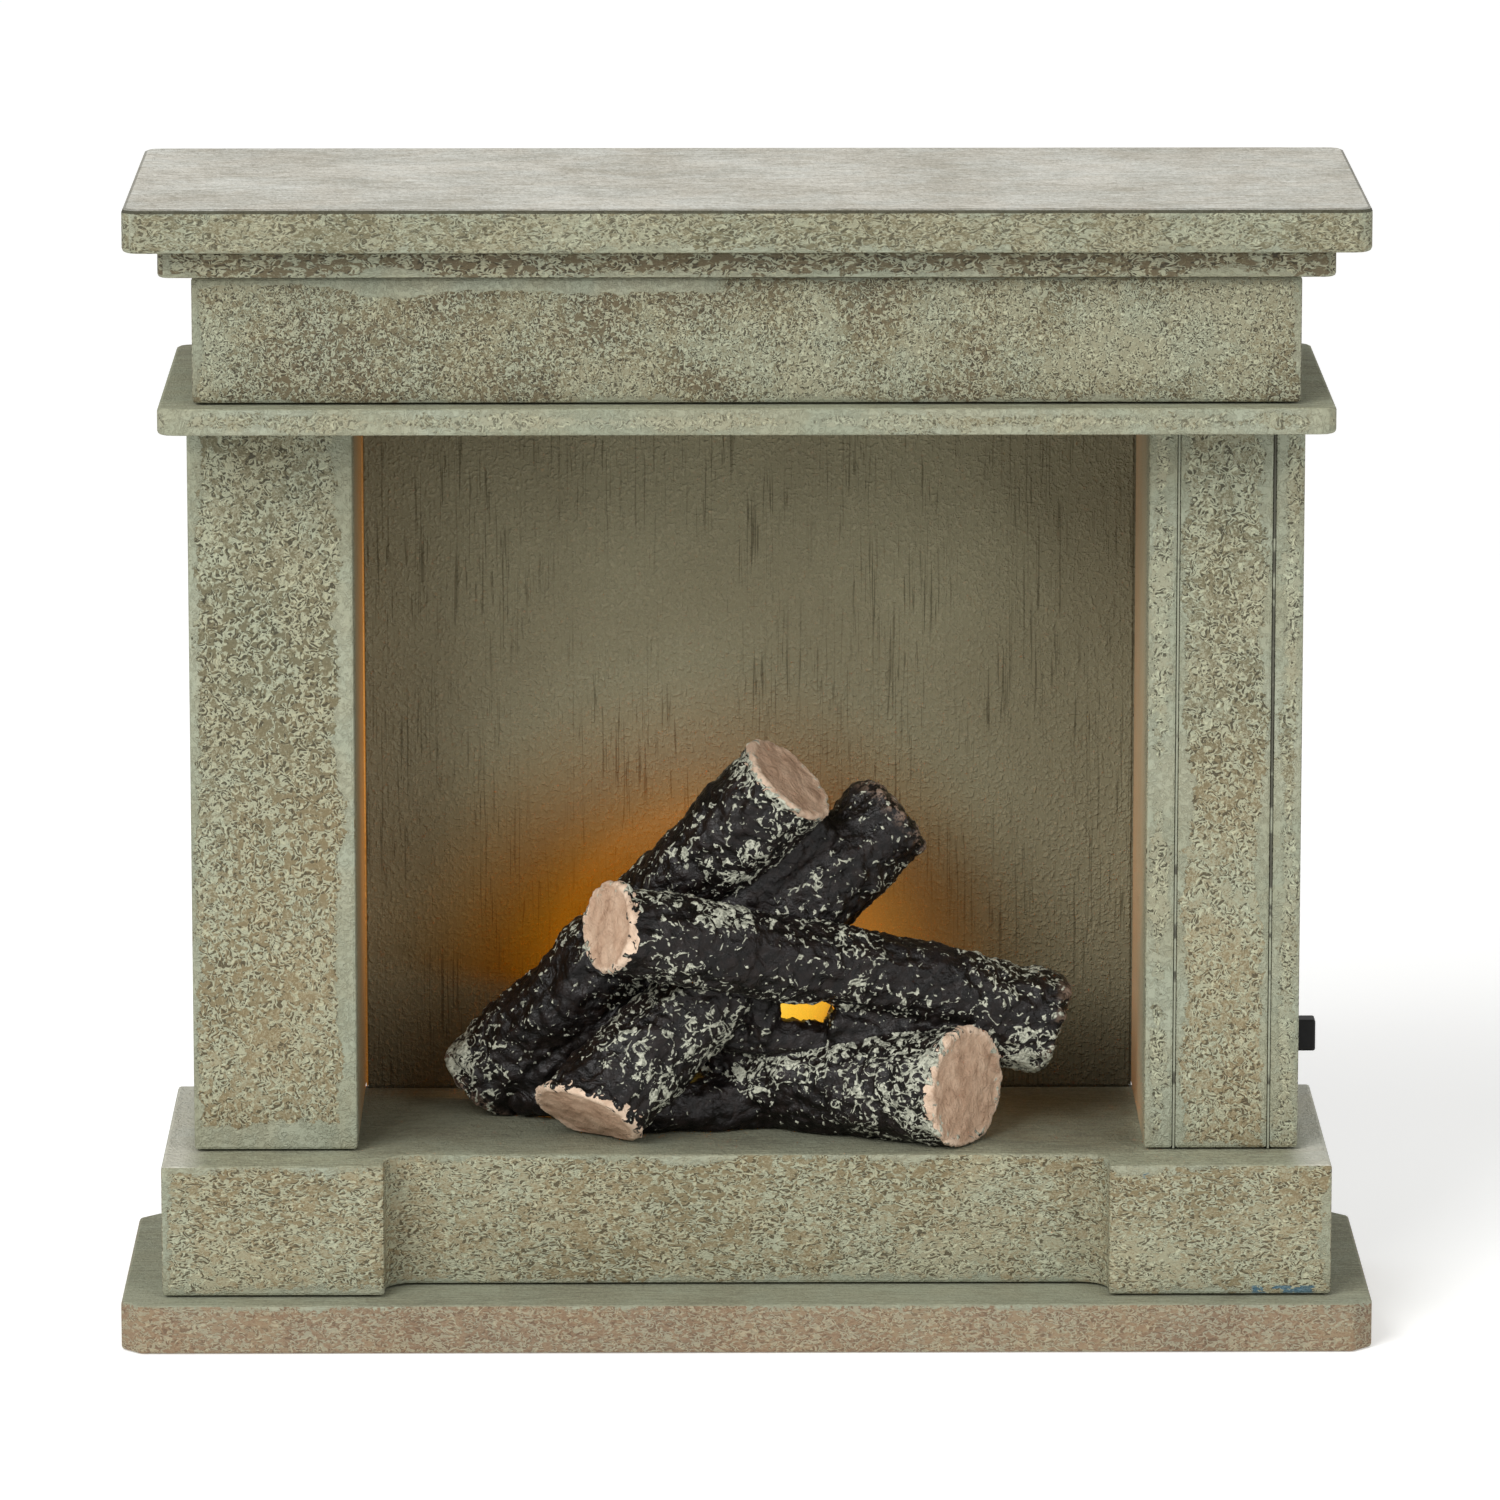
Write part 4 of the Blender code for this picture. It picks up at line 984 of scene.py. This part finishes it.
def log_pile():
    """One casting of four logs: knobbly bark, sawn ends with a raised rim, a flat underside."""
    mesh = rough_pile()
    count = len(mesh.vertices)
    points = np.empty(count * 3)
    mesh.vertices.foreach_get("co", points)
    points = points.reshape(-1, 3)
    normals = np.empty(count * 3)
    mesh.vertices.foreach_get("normal", normals)
    normals = normals.reshape(-1, 3)

    owner, along, angle, radius, share = log_coordinates(points)
    depth, end_depth = end_depths(points, owner)
    round_x, round_y = radius * np.cos(angle), radius * np.sin(angle)
    seat = owner * 31.7
    bark_ridges = noise_at(np.column_stack([along * 0.20 + seat, round_x * 0.42, round_y * 0.42]))
    bark_knobs = noise_at(points * 0.60, 3)
    bark_bows = noise_at(points * 0.11 + 7.0, 2)
    creases = noise_at(np.column_stack([along * 0.50 + seat, round_x * 0.12, round_y * 0.12]), 3)
    folds = 1 - np.abs(creases) * 3
    relief = 0.50 * bark_ridges + 0.45 * bark_knobs - 0.18 * np.maximum(folds, 0)
    bark = step(depth, 0.2, 0.8)
    lip = np.exp(-(((depth - 0.6) / 0.5) ** 2)) * (0.5 + bark_knobs)
    rim = step(share, 0.80, 0.93) * (1 - bark)
    bark_height = 0.80 * relief + 0.75 * bark_bows
    cut_height = 0.22 * noise_at(points * 0.30, 3) + 0.22 * rim
    lift = bark * bark_height + (1 - bark) * cut_height + 0.30 * lip
    points = points + normals * lift[:, None]
    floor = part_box("log_pile")[0].z / MM
    points[:, 2] = np.maximum(points[:, 2], floor)
    mesh.vertices.foreach_set("co", (points * MM).ravel())

    brushed = np.array(LOG_FLECKS + [(WEB_FLECKS, 0.0)] * (len(LOGS) - len(LOG_FLECKS)))[owner]
    ends = noise_at(points * 0.06 + 3.0, 2)
    near_end = brushed[:, 1] * np.exp(-np.maximum(depth, 0) / 9.0)
    near_end += 0.07 * np.exp(-np.maximum(end_depth, 0) / 6.0)
    for name, values in {
        "relief": 0.5 + 0.5 * relief,
        "sawn_depth": depth,
        "rim_share": share,
        "rubbed": 1 - step(end_depth, -1.0, 2.0),
        "fleck_density": 0.5 + 0.5 * ends + near_end + brushed[:, 0],
    }.items():
        layer = mesh.attributes.new(name, "FLOAT", "POINT")
        layer.data.foreach_set("value", values.astype(np.float32))
    mesh.polygons.foreach_set("use_smooth", [True] * len(mesh.polygons))
    mesh.update()
    ob = bpy.data.objects.new("painted_log_pile", mesh)
    bpy.context.scene.collection.objects.link(ob)
    mesh.materials.clear()
    mesh.materials.append(log_paint())
    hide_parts("log_pile")
    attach(ob, "mantel")


def log_paint():
    """Near-black bark, dry-brushed with a pale grey-green, and beige sawn ends."""
    g = Graph("log_resin_painted", Specular_IOR_Level=0.22)
    relief = g.attribute("relief")
    depth = g.attribute("sawn_depth")
    density = g.attribute("fleck_density")
    share = g.attribute("rim_share")
    gate = g.noise(0.80, 2.0, 0.6)
    patch = g.noise(0.40, 4.0, 1.6)
    dots = g.noise(1.8, 3.0, 0.8)
    lean = g.total(g.uneven(density, 0.38), g.uneven(relief, 0.20), g.uneven(dots, 0.12))
    worm = g.times(g.threads(0.37, 0.060, 1.4), g.rise(g.math("ADD", gate, lean), 0.505, 0.535))
    blot = g.rise(g.math("ADD", patch, lean), 0.615, 0.640)
    crumb = g.rise(g.math("ADD", dots, lean), 0.72, 0.75)
    fleck = g.largest(worm, blot, crumb)
    bark = g.blend(g.rise(relief, 0.35, 0.75), srgb("080605"), srgb("171313"))
    bark = g.blend(g.rise(patch, 0.3, 0.6, 0.4, 0.0), bark, srgb("241a16"))
    rubbed = g.times(g.attribute("rubbed"), g.rise(g.math("ADD", relief, dots), 0.9, 1.15))
    bark = g.blend(g.times(rubbed, 0.8), bark, srgb("8c7666"))
    pale = g.blend(g.rise(dots, 0.35, 0.65), srgb("75766a"), srgb("b0b1a0"))
    colour = g.blend(fleck, bark, pale)
    frayed = g.times(g.uneven(patch, 7.0), g.rise(share, 0.60, 0.95))
    edge = g.total(depth, frayed, g.times(dots, -0.3))
    sawn = g.rise(edge, 0.35, 0.6, 1.0, 0.0)
    stain = g.noise(0.35, 3.0, 0.5)
    wood = g.ramp(
        g.math("ADD", g.times(stain, 0.7), g.times(dots, 0.3)),
        [(0.30, "8a6e58"), (0.45, "a88b74"), (0.60, "b59a83"), (0.75, "c3a992")],
    )
    rim = g.rise(g.math("ADD", share, g.uneven(patch, 0.35)), 0.86, 0.95)
    rim = g.times(rim, g.rise(stain, 0.35, 0.6, 0.35, 0.85))
    wood = g.blend(rim, wood, srgb("cfb8a2"))
    # Painted shade: the sawn end high up, the rear log's, darker as it is turned from the key light.
    wood = g.blend(g.rise(g.axes[2], 66.0, 70.0, 0.0, 0.28), wood, srgb("6e5846"))
    colour = g.blend(sawn, colour, wood)
    gloss = g.blend(g.largest(sawn, fleck), (0.36,) * 3 + (1,), (0.72,) * 3 + (1,))
    height = g.total(g.times(patch, 1.1), g.times(gate, 0.5), g.times(dots, 0.4), g.times(fleck, 0.22))
    return g.finish(colour, gloss, height, 0.42, 0.8)


# ---- stage ---------------------------------------------------------------------------------------
FLOOR_HALF_M = 6.0
FLOOR_DROP_MM = 0.1  # under the object
SKY_STRENGTH = 0.52
KEY_WATTS, FILL_WATTS, LAMP_WATTS = 31.0, 12.0, 0.02


def stage_floor():
    """White ground, brighter far behind the object so that it reads as white up to the top."""
    bm = bmesh.new()
    bmesh.ops.create_grid(bm, x_segments=8, y_segments=8, size=FLOOR_HALF_M)
    mesh = bpy.data.meshes.new("studio_floor")
    bm.to_mesh(mesh)
    bm.free()
    floor = bpy.data.objects.new("studio_floor", mesh)
    floor.location.z = cad_box[0].z - FLOOR_DROP_MM * MM
    bpy.context.scene.collection.objects.link(floor)
    g = Graph("studio_floor_white")
    tone = g.noise(0.01, 2.0)
    near = g.blend(tone, srgb("8c8c8b"), srgb("8f8f8e"))
    g.emit(g.blend(g.rise(g.axes[1], 400.0, 1500.0), near, srgb("adadac")))
    g.finish(g.blend(tone, srgb("f6f6f5"), srgb("f9f9f8")), 0.9)
    mesh.materials.append(g.material)


def softbox(name, position, target, size, power):
    light = bpy.data.lights.new(name, "AREA")
    light.shape = "RECTANGLE"
    light.size, light.size_y = size
    light.energy = power
    ob = bpy.data.objects.new(name, light)
    ob.location = position
    aim = Vector(target) - Vector(position)
    ob.rotation_euler = aim.to_track_quat("-Z", "Y").to_euler()
    bpy.context.scene.collection.objects.link(ob)


def studio_light():
    world = bpy.data.worlds.new("studio")
    world.use_nodes = True
    sky = world.node_tree.nodes["Background"]
    sky.inputs["Color"].default_value = (1.0, 1.0, 1.0, 1.0)
    sky.inputs["Strength"].default_value = SKY_STRENGTH
    bpy.context.scene.world = world
    middle = (cad_box[0] + cad_box[1]) / 2
    softbox("key_softbox", (-0.9, -1.3, 1.1), middle, (1.1, 1.1), KEY_WATTS)
    softbox("fill_softbox", (1.1, -1.4, 0.9), middle, (1.0, 1.0), FILL_WATTS)


def lamp_light():
    """The lamp's glow, from just over its tip."""
    low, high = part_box("led_lens")
    light = bpy.data.lights.new("lamp_glow", "POINT")
    light.energy = LAMP_WATTS
    light.color = (1.0, 0.36, 0.02)
    light.shadow_soft_size = 1.5 * MM
    ob = bpy.data.objects.new("lamp_glow", light)
    ob.location = ((low.x + high.x) / 2, (low.y + high.y) / 2, high.z + 2 * MM)
    bpy.context.scene.collection.objects.link(ob)


LENS_MM, SENSOR_MM = 231.13, 36.0
ELEVATION_DEG, YAW_DEG, DISTANCE_M = 11.41, 0.447, 1.3519
AIM_OFFSET_MM = (0.6, 0.0, 0.2)  # from the object's middle


def camera():
    """A long lens from the front, a little above the object and nearly square to it."""
    elevation, yaw = math.radians(ELEVATION_DEG), math.radians(YAW_DEG)
    middle = (cad_box[0] + cad_box[1]) / 2
    aim = Vector((middle.x, 0.0, middle.z)) + Vector(AIM_OFFSET_MM) * MM
    ahead = Vector(
        (
            math.sin(yaw) * math.cos(elevation),
            math.cos(yaw) * math.cos(elevation),
            -math.sin(elevation),
        )
    )
    data = bpy.data.cameras.new("camera")
    data.lens = LENS_MM
    data.sensor_width = SENSOR_MM
    data.clip_start = 0.05
    ob = bpy.data.objects.new("camera", data)
    ob.location = aim - ahead * DISTANCE_M
    ob.rotation_euler = ahead.to_track_quat("-Z", "Y").to_euler()
    bpy.context.scene.collection.objects.link(ob)
    bpy.context.scene.camera = ob


def main():
    paint_boards()
    firebox_paint()
    panel_seams()
    jamb_seams()
    small_parts()
    log_pile()
    stage_floor()
    studio_light()
    lamp_light()
    camera()
    bpy.context.scene.view_settings.view_transform = "Standard"


main()
